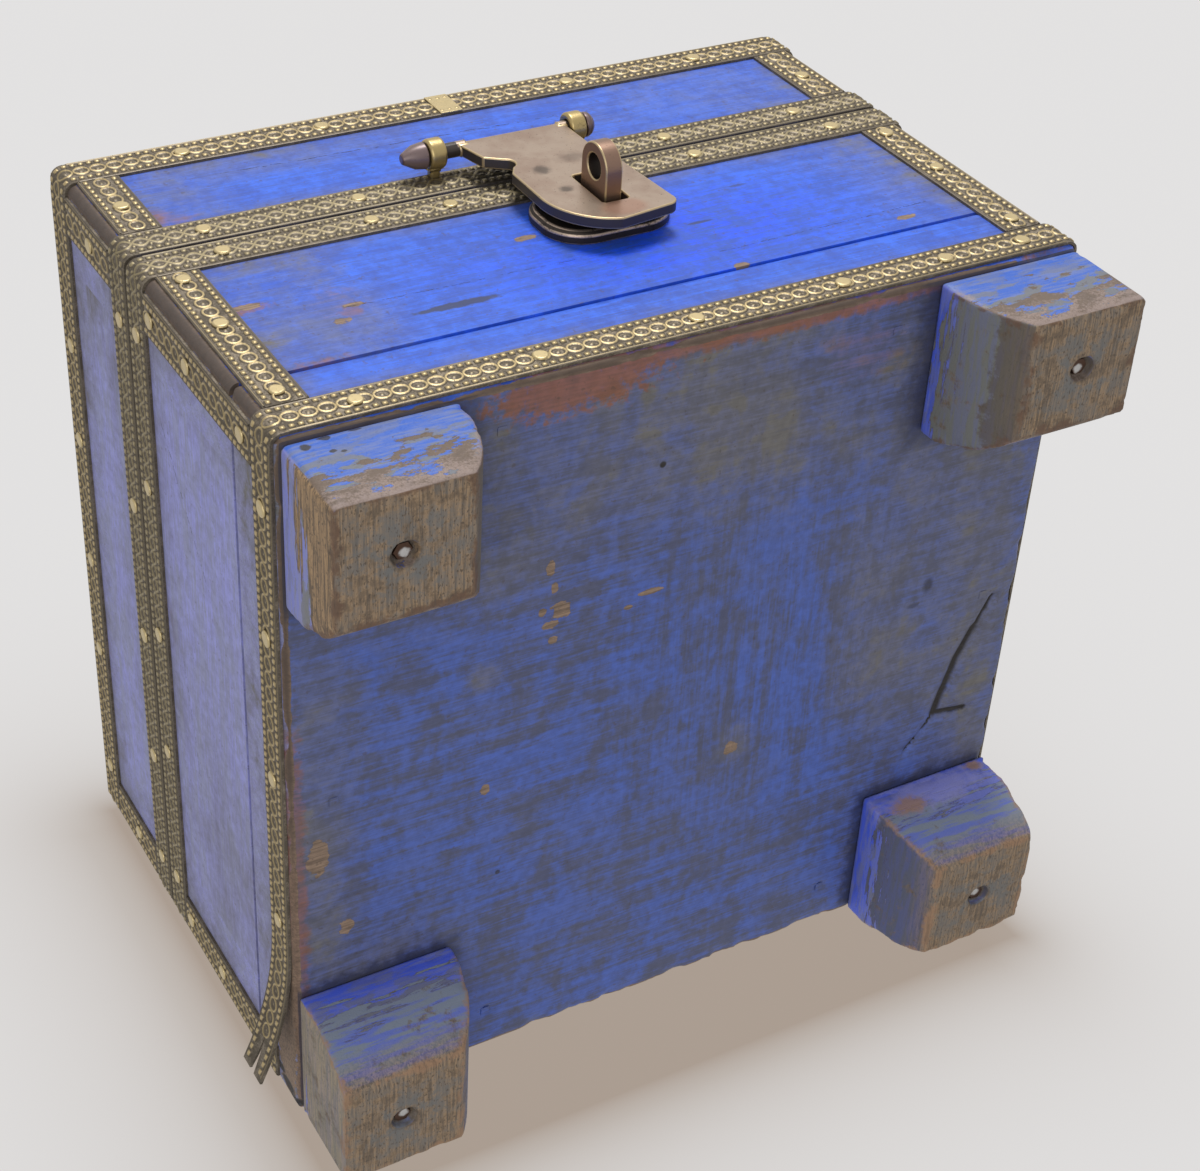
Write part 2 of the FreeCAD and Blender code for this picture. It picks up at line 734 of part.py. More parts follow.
def build_lid():
    """Every piece that turns with the lid, and the hasp that hangs on it."""
    nodes = {}
    z0 = lid_bottom_belt_z + strip_width + upright_gap
    z1 = lid_top_belt_z - upright_gap
    places = belt_nail_places(
        lid_bottom_belt_z, front_lid_bottom_nail_shares,
        side_lid_bottom_nail_shares, side_lid_bottom_nail_shares,
    )
    places += belt_nail_places(
        lid_top_belt_z, front_lid_top_nail_shares, side_lid_top_nail_shares, side_lid_top_nail_shares
    )
    places += upright_nail_places(z0, z1, lid_upright_nail_shares)
    strip_nails, shanks = nail_set(places)
    hinge_xs = (along(left, right, hinge_place_share), along(right, left, hinge_place_share))
    hinge_nails, hinge_shanks = nail_set([p for x in hinge_xs for p in leaf_nail_places(x, True)])
    brads = wall_brads(lid_floor, rail_top)
    brads += flat_board_brads(box_top, lid_top_thickness, Vector(0, 0, 1))
    eye_xs = eye_centres()
    eye_holes = [eye_shank(x, 0) for x in eye_xs]
    notches = [eye_shank(x, belt_notch_clearance) for x in eye_xs]
    cutters = shanks + hinge_shanks + brads + eye_holes

    envelope = box_envelope()
    rails = wall_blocks(lid_floor, rail_top)
    for name, solid in rails.items():
        nodes["lid_" + name + "_rail"] = bored(solid.common(envelope), cutters)
    top = block(left, right, front, back, rail_top, box_top)
    nodes["lid_top_board"] = bored(top.common(envelope), cutters)
    nodes["lid_bottom_belt"] = bored(belt(lid_bottom_belt_z), shanks + notches)
    nodes["lid_top_belt"] = bored(belt(lid_top_belt_z), shanks)
    nodes["lid_belt_clip"] = belt_clip()
    for name, place, outward in upright_faces():
        nodes["lid_strip_" + name] = bored(upright_strip(place, outward, z0, z1), shanks)
    for name, x in zip(("left", "right"), eye_xs):
        nodes["hasp_eye_" + name] = hasp_eye(x)
    for name, x in zip(("left_hinge_", "right_hinge_"), hinge_xs):
        nodes[name + "lid_leaf"] = bored(hinge_leaf(x, True), hinge_shanks)
    nodes["lid_strip_nails"] = Part.makeCompound(strip_nails)
    nodes["lid_hinge_nails"] = Part.makeCompound(hinge_nails)
    nodes["lid_brads"] = Part.makeCompound(brads)
    nodes["hasp_plate"] = hasp()
    return nodes


def main():
    """Write one file per piece."""
    os.makedirs("parts", exist_ok=True)
    nodes = build_body()
    nodes.update(build_lid())
    for name, shape in nodes.items():
        shape.exportStep("parts/" + name + ".step")


main()
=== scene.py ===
import math
from functools import reduce

import bmesh
import bpy
from bpy.props import FloatProperty, FloatVectorProperty, IntProperty, PointerProperty
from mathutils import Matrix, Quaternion, Vector, kdtree, noise


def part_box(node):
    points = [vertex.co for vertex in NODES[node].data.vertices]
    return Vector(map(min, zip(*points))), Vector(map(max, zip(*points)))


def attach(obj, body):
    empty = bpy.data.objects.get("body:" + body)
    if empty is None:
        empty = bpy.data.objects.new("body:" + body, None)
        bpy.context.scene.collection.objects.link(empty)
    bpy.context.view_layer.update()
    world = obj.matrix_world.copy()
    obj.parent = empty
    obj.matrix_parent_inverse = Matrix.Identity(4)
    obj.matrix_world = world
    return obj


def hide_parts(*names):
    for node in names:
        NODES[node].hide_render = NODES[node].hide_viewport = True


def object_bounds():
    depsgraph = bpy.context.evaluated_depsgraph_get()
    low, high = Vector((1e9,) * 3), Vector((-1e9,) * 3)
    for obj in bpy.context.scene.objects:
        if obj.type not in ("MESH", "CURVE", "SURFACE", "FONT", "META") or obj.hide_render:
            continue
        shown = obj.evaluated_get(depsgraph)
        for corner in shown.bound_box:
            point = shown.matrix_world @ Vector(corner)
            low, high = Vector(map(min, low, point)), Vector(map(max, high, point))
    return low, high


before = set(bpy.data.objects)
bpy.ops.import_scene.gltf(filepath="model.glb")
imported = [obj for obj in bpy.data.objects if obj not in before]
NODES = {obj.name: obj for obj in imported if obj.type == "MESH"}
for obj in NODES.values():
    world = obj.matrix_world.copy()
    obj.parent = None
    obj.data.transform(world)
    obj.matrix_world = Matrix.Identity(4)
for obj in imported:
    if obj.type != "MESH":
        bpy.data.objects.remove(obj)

bl_info = {
    "name": "Brass-Bound Box",
    "version": (1, 0, 0),
    "blender": (4, 5, 0),
    "location": "View3D > Sidebar > Box",
    "description": "Dresses a brass-bound box: worn paint, strips, nails, hasp, hinges and feet",
    "category": "Object",
}

MM = 0.001
CAD_BOX = [list(corner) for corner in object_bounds()]

# The closed box without its feet and metal, in metres.
FRONT_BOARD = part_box("front_board")
BOX_LOW = Vector((FRONT_BOARD[0].x, FRONT_BOARD[0].y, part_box("bottom_board")[0].z))
BOX_HIGH = Vector((FRONT_BOARD[1].x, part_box("back_board")[1].y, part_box("lid_top_board")[1].z))

CORNERS = ("front_left", "front_right", "left_front", "left_back", "right_front", "right_back")
FEET = ("foot_front_left", "foot_front_right", "foot_back_left", "foot_back_right")
OUTWARD = {"front": Vector((0, -1, 0)), "left": Vector((-1, 0, 0)), "right": Vector((1, 0, 0)),
           "back": Vector((0, 1, 0))}


def measure(label, text, millimetres):
    return FloatProperty(name=label, description=text, default=millimetres * MM, unit="LENGTH", precision=5)


def hue(label, text, *colour):
    return FloatVectorProperty(name=label, description=text, default=colour, size=3, min=0.0, max=1.0,
                               subtype="COLOR")


class PaintSettings(bpy.types.PropertyGroup):
    """Colours of the painted and the bare wood, and wear of the underside."""
    front: hue("Front Paint", "Strong blue of the front and the lid", 0.020, 0.128, 0.740)
    fresh: hue("Fresh Paint", "Deeper blue where the hasp kept the front from wear", 0.004, 0.072, 0.820)
    # Painted contact shade, with some grime, in the corners beside the feet.
    corner: hue("Corner Shade and Grime", "Painted shade and dark grime in the corners beside the feet", 0.016, 0.018, 0.040)
    front_streak: hue("Front Streak", "Darker brush marks of the front", 0.019, 0.086, 0.520)
    side: hue("Side Paint", "Faded lavender blue of the sides", 0.300, 0.312, 0.730)
    side_streak: hue("Side Streak", "Greyer marks of the sides", 0.262, 0.276, 0.490)
    bottom: hue("Underside Paint", "Dull blue of the underside", 0.048, 0.114, 0.490)
    bottom_streak: hue("Underside Streak", "Greyer brush marks of the underside", 0.066, 0.078, 0.165)
    grime: hue("Grime", "Brown-grey dirt on the paint", 0.150, 0.142, 0.138)
    wood: hue("Wood", "Bare old wood", 0.290, 0.200, 0.140)
    wood_dark: hue("Dark Wood", "Dark grain of the bare wood", 0.075, 0.050, 0.036)
    arris: hue("Arris Wood", "Dark handled wood along the corners", 0.062, 0.047, 0.040)
    edge_wood: hue("Edge Wood", "Orange-brown wood along the underside's edges", 0.200, 0.125, 0.085)
    red_wood: hue("Red Wood", "Reddish wood where the paint is rubbed thin", 0.232, 0.090, 0.047)
    scratch: hue("Scratch", "Dark slate under the scratched paint", 0.020, 0.028, 0.075)
    crack: hue("Crack", "Inside of cracks and nail holes", 0.012, 0.009, 0.008)
    board_voxel: measure("Board Voxel", "Size of the facets of the worn underside", 1.0)
    board_rounds: IntProperty(name="Board Rounds", default=4,
                              description="Rounds of smoothing of the underside")
    board_chip: measure("Board Chip", "Depth of the chips along the underside's edges", 1.1)


class FootSettings(bpy.types.PropertyGroup):
    """Shape and colours of the worn feet."""
    voxel: measure("Voxel", "Size of the facets of the worn wood", 0.62)
    chip: measure("Chip", "Depth of the chips along the edges", 0.9)
    kept: measure("Kept", "Height below the board that stays unworn", 1.2)
    rounds: IntProperty(name="Rounds", description="Rounds of smoothing of the worn wood", default=5)
    wood: hue("Foot Wood", "Worn wood of the feet", 0.405, 0.262, 0.138)
    wood_dark: hue("Foot Dark Wood", "Dark grain of the feet", 0.085, 0.062, 0.044)
    edge_wood: hue("Edge Wood", "Orange-brown rubbed edges", 0.340, 0.200, 0.118)
    dark_edge: hue("Dark Edge", "Dark red-brown edges of the front soles", 0.120, 0.062, 0.038)
    pale_wood: hue("Pale Wood", "Pinkish rubbed wood above the front arris", 0.300, 0.232, 0.210)
    stain: hue("Sole Stain", "Blue-grey stain on the soles", 0.150, 0.150, 0.148)
    patina: hue("Patina", "Grey-green layer where the paint has worn thin", 0.285, 0.282, 0.245)
    blue_patina: hue("Blue Patina", "Blue-grey layer on the front of the rear feet", 0.200, 0.235, 0.300)
    shadow_patina: hue("Inner Patina", "Olive dirt on the feet's inner faces", 0.160, 0.162, 0.150)
    deep_patina: hue("Deep Patina", "Dark blue dirt on the rear feet's inner faces", 0.092, 0.100, 0.150)
    paint: hue("Foot Paint", "Strong blue left on the front of the feet", 0.030, 0.115, 0.520)
    side_paint: hue("Foot Side Paint", "Lavender blue left on the sides", 0.195, 0.218, 0.590)
    # Faded paint, painted paler as well to stand in for light on a face that the box keeps in shade.
    faded_and_lit_paint: hue("Foot Faded and Lit Paint", "Pale blue on the front of a rear foot", 0.270, 0.280, 0.640)
    inner_paint: hue("Foot Inner Paint", "Deep blue left beside the underside", 0.064, 0.116, 0.690)


class StripSettings(bpy.types.PropertyGroup):
    """Sizes and colours of the embossed brass strips and their nails."""
    pitch: measure("Pitch", "Length of one repeat of the pattern", 3.7)
    ring: measure("Ring", "Width of a ring across the strip", 4.1)
    strand: measure("Strand", "Width of a raised strand", 1.05)
    height: measure("Height", "Height of the raised pattern", 0.42)
    sink: measure("Sink", "Depth of the pattern's foot below the strip's face", 0.05)
    bead: measure("Bead", "Width of a bead across the strip", 1.15)
    bead_inset: measure("Bead Inset", "Middle of a bead row from the strip's edge", 1.45)
    rim: measure("Rim", "Width of the plain rims", 0.6)
    outer_rim: measure("Outer Rim", "Height of the rim along the strip's outer edge", 0.273)
    inner_rim: measure("Inner Rim", "Height of the rim along the strip's inner edge", 0.168)
    step: measure("Step", "Step of the path that the pattern follows", 0.6)
    seed: IntProperty(name="Seed", description="Seed of the nails' irregular set", default=7)
    gold: hue("Worn Brass", "Rubbed tops of the pattern", 0.460, 0.360, 0.190)
    dull_gold: hue("Dull Brass", "Tops of the pattern beside the seam", 0.325, 0.268, 0.158)
    ground: hue("Brass Ground", "Dark tarnished ground between the raised parts", 0.128, 0.108, 0.083)
    nail: hue("Nail Brass", "Rubbed nail heads", 0.540, 0.435, 0.235)


class MetalSettings(bpy.types.PropertyGroup):
    """Edge rounding and colours of the hasp, staple and hinges."""
    edge: measure("Edge", "Rounding of the worn metal edges", 0.35)
    eye_edge: measure("Eye Edge", "Rounding of the eyes that carry the hasp", 0.75)
    leaf_edge: measure("Leaf Edge", "Rounding of the hinges' leaves", 0.21)
    clip_edge: measure("Clip Edge", "Rounding of the clip on the lid's top strip", 0.12)
    bronze: hue("Bronze", "Satin face of the hasp", 0.405, 0.315, 0.245)
    bronze_brown: hue("Brown Bronze", "Clouds on the hasp and face of the staple", 0.260, 0.165, 0.120)
    bronze_red: hue("Red Bronze", "Copper glow below the staple", 0.360, 0.190, 0.130)
    bronze_dark: hue("Dark Bronze", "Tarnished sides of the hasp and staple", 0.050, 0.040, 0.033)
    base_dark: hue("Base Tarnish", "Black tarnish on the staple's base", 0.016, 0.013, 0.011)
    bronze_edge: hue("Worn Edge", "Golden worn edges of the bronze", 0.480, 0.370, 0.215)
    eye_brass: hue("Eye Brass", "Brass of the eyes that carry the hasp", 0.430, 0.330, 0.150)
    bullet: hue("Bullet", "Dark end of the hasp's trunnion", 0.170, 0.120, 0.115)
    brass: hue("Plain Brass", "Aged plain brass", 0.520, 0.390, 0.175)
    brass_dark: hue("Dark Brass", "Tarnish on plain brass", 0.150, 0.105, 0.055)
    iron: hue("Iron", "Iron of the nails in the soles", 0.210, 0.205, 0.200)
    rust: hue("Rust", "Rust on the nails of the soles", 0.075, 0.040, 0.026)


class StageSettings(bpy.types.PropertyGroup):
    """Camera, light and floor."""
    place: FloatVectorProperty(name="Camera Place", description="Where the camera stands", size=3,
                               default=(-225.49 * MM, -313.49 * MM, -306.72 * MM), subtype="TRANSLATION")
    aim: FloatVectorProperty(name="Camera Aim", description="Point the camera looks at", size=3,
                             default=(5.05 * MM, 2.12 * MM, 67.10 * MM), subtype="TRANSLATION")
    roll: FloatProperty(name="Camera Roll", description="Turn of the camera about its line of sight",
                        default=math.radians(-43.046), subtype="ANGLE")
    lens: FloatProperty(name="Lens", description="Focal length on a 36 mm wide film", default=69.934,
                        unit="CAMERA")
    pale: hue("Background", "Pale background", 0.765, 0.756, 0.755)
    ground: hue("Ground", "Floor the upright box stands on", 0.780, 0.770, 0.765)
    shade: hue("Shade", "Warm shade on the floor round the box on its back", 0.26, 0.13, 0.02)
    sky: FloatProperty(name="Sky", description="Strength of the even light", default=0.53)
    key: FloatProperty(name="Key", description="Power of the soft light before the front", default=10.5,
                       subtype="POWER")
    fill: FloatProperty(name="Fill", description="Power of the soft light from below", default=4.2,
                        subtype="POWER")


SETTINGS = {"box_paint": PaintSettings, "box_feet": FootSettings, "box_strips": StripSettings,
            "box_metal": MetalSettings, "box_stage": StageSettings}


# Node helpers

class Wire:
    """An output of a node; sums, differences, products and quotients of wires add Math nodes to its tree."""

    def __init__(self, tree, socket):
        self.tree = tree
        self.socket = socket

    def __add__(self, other):
        return maths("ADD", self, other)

    def __radd__(self, other):
        return maths("ADD", other, self)

    def __sub__(self, other):
        return maths("SUBTRACT", self, other)

    def __rsub__(self, other):
        return maths("SUBTRACT", other, self)

    def __mul__(self, other):
        return maths("MULTIPLY", self, other)

    def __truediv__(self, other):
        return maths("DIVIDE", self, other)


def tree_of(*values):
    """The node tree of the first wire among some values."""
    return next(value.tree for value in values if isinstance(value, Wire))


def feed(tree, socket, value):
    """Links a wire to a socket or sets the socket's value; a colour of three parts is made opaque."""
    if isinstance(value, Wire):
        tree.links.new(value.socket, socket)
    elif socket.type == "RGBA" and len(value) == 3:
        socket.default_value = (*value, 1.0)
    else:
        socket.default_value = value


def add(tree, kind, inputs=None, **settings):
    """Adds a node; each input is a value or the wire that feeds it."""
    node = tree.nodes.new(kind)
    for key, value in settings.items():
        setattr(node, key, value)
    for key, value in (inputs or {}).items():
        feed(tree, node.inputs[key], value)
    return node


def wires(node):
    """All outputs of a node by name."""
    return {socket.name: Wire(node.id_data, socket) for socket in node.outputs}


def wired(tree, kind, inputs=None, out=0, **settings):
    """Adds a node; gives back one of its outputs."""
    return Wire(tree, add(tree, kind, inputs, **settings).outputs[out])


def maths(operation, first, second=0.0, clamp=False):
    return wired(tree_of(first, second), "ShaderNodeMath", {0: first, 1: second}, operation=operation,
                 use_clamp=clamp)


def largest(*values):
    return reduce(lambda first, second: maths("MAXIMUM", first, second), values)


def smallest(*values):
    return reduce(lambda first, second: maths("MINIMUM", first, second), values)


def vectors(operation, first, second=(0.0, 0.0, 0.0), out="Vector"):
    return wired(first.tree, "ShaderNodeVectorMath", {0: first, 1: second}, out, operation=operation)


def stretched(vector, factors):
    return vectors("MULTIPLY", vector, factors)


def scaled(vector, factor):
    return wired(vector.tree, "ShaderNodeVectorMath", {0: vector, "Scale": factor}, operation="SCALE")


def dot(first, second):
    return vectors("DOT_PRODUCT", first, second, "Value")


def span(vector):
    return vectors("LENGTH", vector, out="Value")


def split(vector):
    return wires(add(vector.tree, "ShaderNodeSeparateXYZ", {0: vector}))


def blend(share, first, second, how="MIX"):
    """Mixes two colours."""
    return wired(tree_of(share, first, second), "ShaderNodeMix", {0: share, 6: first, 7: second}, 2,
                 data_type="RGBA", blend_type=how)


def mixed(share, first, second):
    """Mixes two numbers."""
    return wired(share.tree, "ShaderNodeMix", {0: share, 2: first, 3: second})


def between(value, low, high, out_low=0.0, out_high=1.0):
    """A smooth step while a value goes from low to high."""
    return wired(value.tree, "ShaderNodeMapRange", {0: value, 1: low, 2: high, 3: out_low, 4: out_high},
                 interpolation_type="SMOOTHSTEP")


def cloud(vector, scale, detail, roughness, distortion=0.0, out="Fac"):
    return wired(vector.tree, "ShaderNodeTexNoise", {"Vector": vector, "Scale": scale, "Detail": detail,
                 "Roughness": roughness, "Distortion": distortion}, out)


SOCKETS = {"value": "NodeSocketFloat", "vector": "NodeSocketVector", "colour": "NodeSocketColor",
           "whole": "NodeSocketInt", "shape": "NodeSocketGeometry", "object": "NodeSocketObject",
           "material": "NodeSocketMaterial"}


def new_group(name, inputs, outputs, kind="ShaderNodeTree"):
    """Makes a node group with named sockets; gives back its tree and its inputs."""
    tree = bpy.data.node_groups.new(name, kind)
    for way, sockets in (("INPUT", inputs), ("OUTPUT", outputs)):
        for sort, labels in sockets.items():
            for label in labels:
                tree.interface.new_socket(label, in_out=way, socket_type=SOCKETS[sort])
    return tree, wires(tree.nodes.new("NodeGroupInput"))


def give(tree, values):
    """Feeds the outputs of a node group; gives back the group."""
    add(tree, "NodeGroupOutput", values)
    return tree


def give_shape(tree, label, shape, finish):
    """Ends a geometry group with real copies that carry their material."""
    whole = wired(tree, "GeometryNodeRealizeInstances", {0: shape})
    done = wired(tree, "GeometryNodeSetMaterial", {"Geometry": whole, "Material": finish})
    return give(tree, {label: done})


def shared(name, make):
    """Gives back the node group of that name, made at its first use."""
    return bpy.data.node_groups.get(name) or make(name)


def use(name, make, inputs):
    """Places a shared shader group in the tree of its place; gives back its outputs."""
    return wires(add(inputs["Place"].tree, "ShaderNodeGroup", inputs, node_tree=shared(name, make)))


# Shared shader groups. Places and sizes in them are millimetres.

def make_box_faces(name):
    """Tells which outer face of the closed box a point lies on, and how far it is from arris and strips."""
    tree, given = new_group(name, {"vector": ("Place",)},
                            {"value": ("Side", "Bottom", "Inside", "Edge", "Border")})
    low = BOX_LOW / MM
    high = BOX_HIGH / MM
    x, y, z = split(given["Place"]).values()
    wide = maths("ABSOLUTE", x)
    side = high.x - wide
    deep = smallest(y - low.y, high.y - y)
    bottom = z - low.z
    tall = smallest(bottom, high.z - z)
    nearest = smallest(side, smallest(deep, tall))
    reach = nearest + 0.01
    on_side = maths("LESS_THAN", side, reach)
    edge = largest(smallest(side, deep), smallest(largest(side, deep), tall))
    upright_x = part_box("body_strip_front_right")[0].x / MM
    upright_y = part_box("body_strip_right_back")[0].y / MM
    gap = (upright_y - maths("ABSOLUTE", y)) * on_side + (upright_x - wide) * (1.0 - on_side)
    for belt, corner in (("body_bottom_belt", 1), ("body_top_belt", 0),
                         ("lid_bottom_belt", 1), ("lid_top_belt", 0)):
        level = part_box(belt)[corner].z / MM
        gap = smallest(gap, maths("ABSOLUTE", z - level))
    return give(tree, {"Side": on_side, "Bottom": maths("LESS_THAN", bottom, reach),
                       "Inside": between(nearest, 1.3, 2.2), "Edge": edge, "Border": gap})


def make_flaking_paint(name):
    """Brushed old paint: dirty in patches, rubbed thin in places, flaked off where the wear is high."""
    tree, given = new_group(name, {"vector": ("Place", "Stretch"), "value": ("Cross", "Dirt", "Wear", "Rub"),
                                   "colour": ("Paint", "Streak", "Grime", "Wood", "Dark Wood", "Rubbed")},
                            {"colour": ("Color",), "value": ("Roughness", "Height")})
    place = given["Place"]
    along = stretched(place, given["Stretch"])
    over = stretched(place, BRUSH_CROSS)
    brush = mixed(given["Cross"], cloud(along, 0.50, 6.0, 0.68), cloud(over, 0.42, 6.0, 0.68))
    fine = mixed(given["Cross"], cloud(along, 2.4, 3.0, 0.6), cloud(over, 2.0, 3.0, 0.6))
    patch = cloud(place, 0.040, 5.0, 0.62, 0.4)
    mottle = cloud(place, 0.40, 6.0, 0.72)
    smear = cloud(stretched(place, (1.0, 0.5, 1.0)), 0.13, 5.0, 0.62, 0.5)
    # Paint with darker strokes, dirt on it, and reddish wood where it is rubbed thin.
    tone = brush * 0.40 + smear * 0.35 + (fine + mottle) * 0.125
    paint = blend(between(tone, 0.43, 0.57), given["Streak"], given["Paint"])
    murk = between(brush, 0.36, 0.64, 0.05, 0.35) + between(smear, 0.40, 0.62, 0.0, 0.30)
    murk = murk + between(patch, 0.40, 0.60, 0.0, 0.35)
    dirt = murk * smallest(given["Dirt"], 1.15)
    paint = blend(dirt, paint, given["Grime"])
    rub = tone * 0.9 + given["Rub"] * 0.42
    paint = blend(between(rub, 0.60, 0.92, 0.0, 0.9), paint, given["Rubbed"])
    # Bare wood where the paint has flaked off, with a dark rim about it: painted shade under the flake's
    # edge.
    grain = cloud(along, 1.7, 8.0, 0.72, 0.6)
    wood = blend(between(grain, 0.34, 0.60, 0.3, 1.0), given["Dark Wood"], given["Wood"])
    level = cloud(place, 0.26, 8.0, 0.68) * 0.65 + brush * 0.35 + given["Wear"] * 0.6
    bare = between(level, 0.735, 0.775)
    rim = maths("SUBTRACT", between(level, 0.705, 0.735), bare, clamp=True)
    colour = blend(rim * 0.4, blend(bare, paint, wood), given["Dark Wood"])
    dots = between(cloud(place, 0.75, 2.0, 0.5), 0.66, 0.71, 0.0, 0.40)
    colour = blend(dots, colour, given["Dark Wood"])
    # Fine light and dark marks over everything.
    marks = between(fine * 0.5 + mottle * 0.5, 0.36, 0.64, 0.80, 1.16)
    grey = wired(tree, "ShaderNodeCombineColor", {0: marks, 1: marks, 2: marks})
    return give(tree, {
        "Color": blend(1.0, colour, grey, "MULTIPLY"),
        "Roughness": largest(bare, dirt) * 0.2 + between(fine, 0.3, 0.7, 0.46, 0.62),
        "Height": brush * 0.35 + fine * 0.2 + (1.0 - bare) * 0.5 + mottle * 0.35 + grain * 0.25})


def make_worn_spot(name):
    """A ragged spot about a centre, with a hard or a soft edge."""
    tree, given = new_group(name, {"vector": ("Place", "Centre", "Radius"), "value": ("Ragged", "Soft")},
                            {"value": ("Mask",)})
    offset = vectors("DIVIDE", vectors("SUBTRACT", given["Place"], given["Centre"]), given["Radius"])
    rough = cloud(given["Place"], 0.45, 5.0, 0.65) - 0.5
    reach = span(offset) + rough * given["Ragged"]
    return give(tree, {"Mask": between(reach, 1.0 + given["Soft"], 1.0 - given["Soft"])})


def make_crack_line(name):
    """A thin wavering line between two points."""
    tree, given = new_group(name, {"vector": ("Place", "Start", "End"), "value": ("Width", "Waver")},
                            {"value": ("Mask",)})
    sway = vectors("SUBTRACT", cloud(given["Place"], 0.28, 4.0, 0.6, out="Color"), (0.5, 0.5, 0.5))
    place = vectors("ADD", given["Place"], scaled(sway, given["Waver"]))
    whole = vectors("SUBTRACT", given["End"], given["Start"])
    part = vectors("SUBTRACT", place, given["Start"])
    share = maths("DIVIDE", dot(part, whole), dot(whole, whole), clamp=True)
    away = span(vectors("SUBTRACT", part, scaled(whole, share)))
    half = given["Width"] * 0.5
    return give(tree, {"Mask": between(away, half, half * 0.35)})


def make_aged_metal(name):
    """Rubbed metal with cloudy tarnish, dark specks and fine scratches."""
    tree, given = new_group(name, {"vector": ("Place",), "colour": ("Bright", "Dark"),
                                   "value": ("Tarnish", "Gloss")},
                            {"colour": ("Color",), "value": ("Roughness", "Height")})
    mist = cloud(given["Place"], 0.28, 5.0, 0.65)
    speck = cloud(given["Place"], 2.4, 3.0, 0.6)
    scratch = cloud(stretched(given["Place"], (0.25, 4.5, 4.5)), 1.5, 2.0, 0.5)
    pit = between(speck, 0.66, 0.72)
    stain = largest(between(mist * 0.6 + speck * 0.4 + (given["Tarnish"] - 0.5), 0.42, 0.62), pit)
    return give(tree, {"Color": blend(stain, given["Bright"], given["Dark"]),
                       "Roughness": given["Gloss"] + stain * 0.18 + scratch * 0.12,
                       "Height": speck * 0.5 + scratch * 0.2 - pit * 0.4})


# Materials

def new_material(name):
    """Makes a material; gives back it, its shader and the place on the piece in millimetres."""
    material = bpy.data.materials.new(name)
    material.use_nodes = True
    tree = material.node_tree
    place = scaled(wired(tree, "ShaderNodeTexCoord", out="Object"), 1.0 / MM)
    return material, tree.nodes["Principled BSDF"], place


def attribute(tree, name, out="Fac"):
    return wired(tree, "ShaderNodeAttribute", out=out, attribute_name=name)


def dress(shader, colour, roughness, height, strength, distance, metallic=0.0):
    """Feeds a shader; the height makes a bump whose distance is in millimetres."""
    tree = shader.id_data
    normal = wired(tree, "ShaderNodeBump",
                   {"Strength": strength, "Distance": distance * MM, "Height": height})
    for label, value in (("Base Color", colour), ("Roughness", roughness), ("Metallic", metallic),
                         ("Normal", normal)):
        feed(tree, shader.inputs[label], value)


def spot(place, centre, radius, ragged, soft):
    return use("worn spot", make_worn_spot, {"Place": place, "Centre": centre, "Radius": radius,
                                             "Ragged": ragged, "Soft": soft})["Mask"]


def marked(place, spots):
    """The strongest of some worn spots at each point; the last number of each is its strength."""
    return largest(0.0, *[spot(place, *shape) * strength for *shape, strength in spots])


def crack(place, start, end, width, waver):
    return use("crack line", make_crack_line, {"Place": place, "Start": start, "End": end,
                                               "Width": width, "Waver": waver})["Mask"]


FRONT = BOX_LOW.y / MM
LEFT = BOX_LOW.x / MM
UNDER = BOX_LOW.z / MM

# How a brush stroke is drawn out along each way.
BRUSH_X = (0.06, 0.9, 0.9)
BRUSH_Y = (0.9, 0.06, 0.9)
BRUSH_UNDER = (0.05, 0.75, 0.9)
BRUSH_CROSS = (0.8, 0.035, 0.8)

# Dirt on every face, more on the sides, and more on the underside.
FRONT_SOIL = (0.10, 0.26, 0.0)
SIDE_SOIL = (0.10, 0.16, 0.0)
UNDER_SOIL = (0.1, 0.7, 0.2)

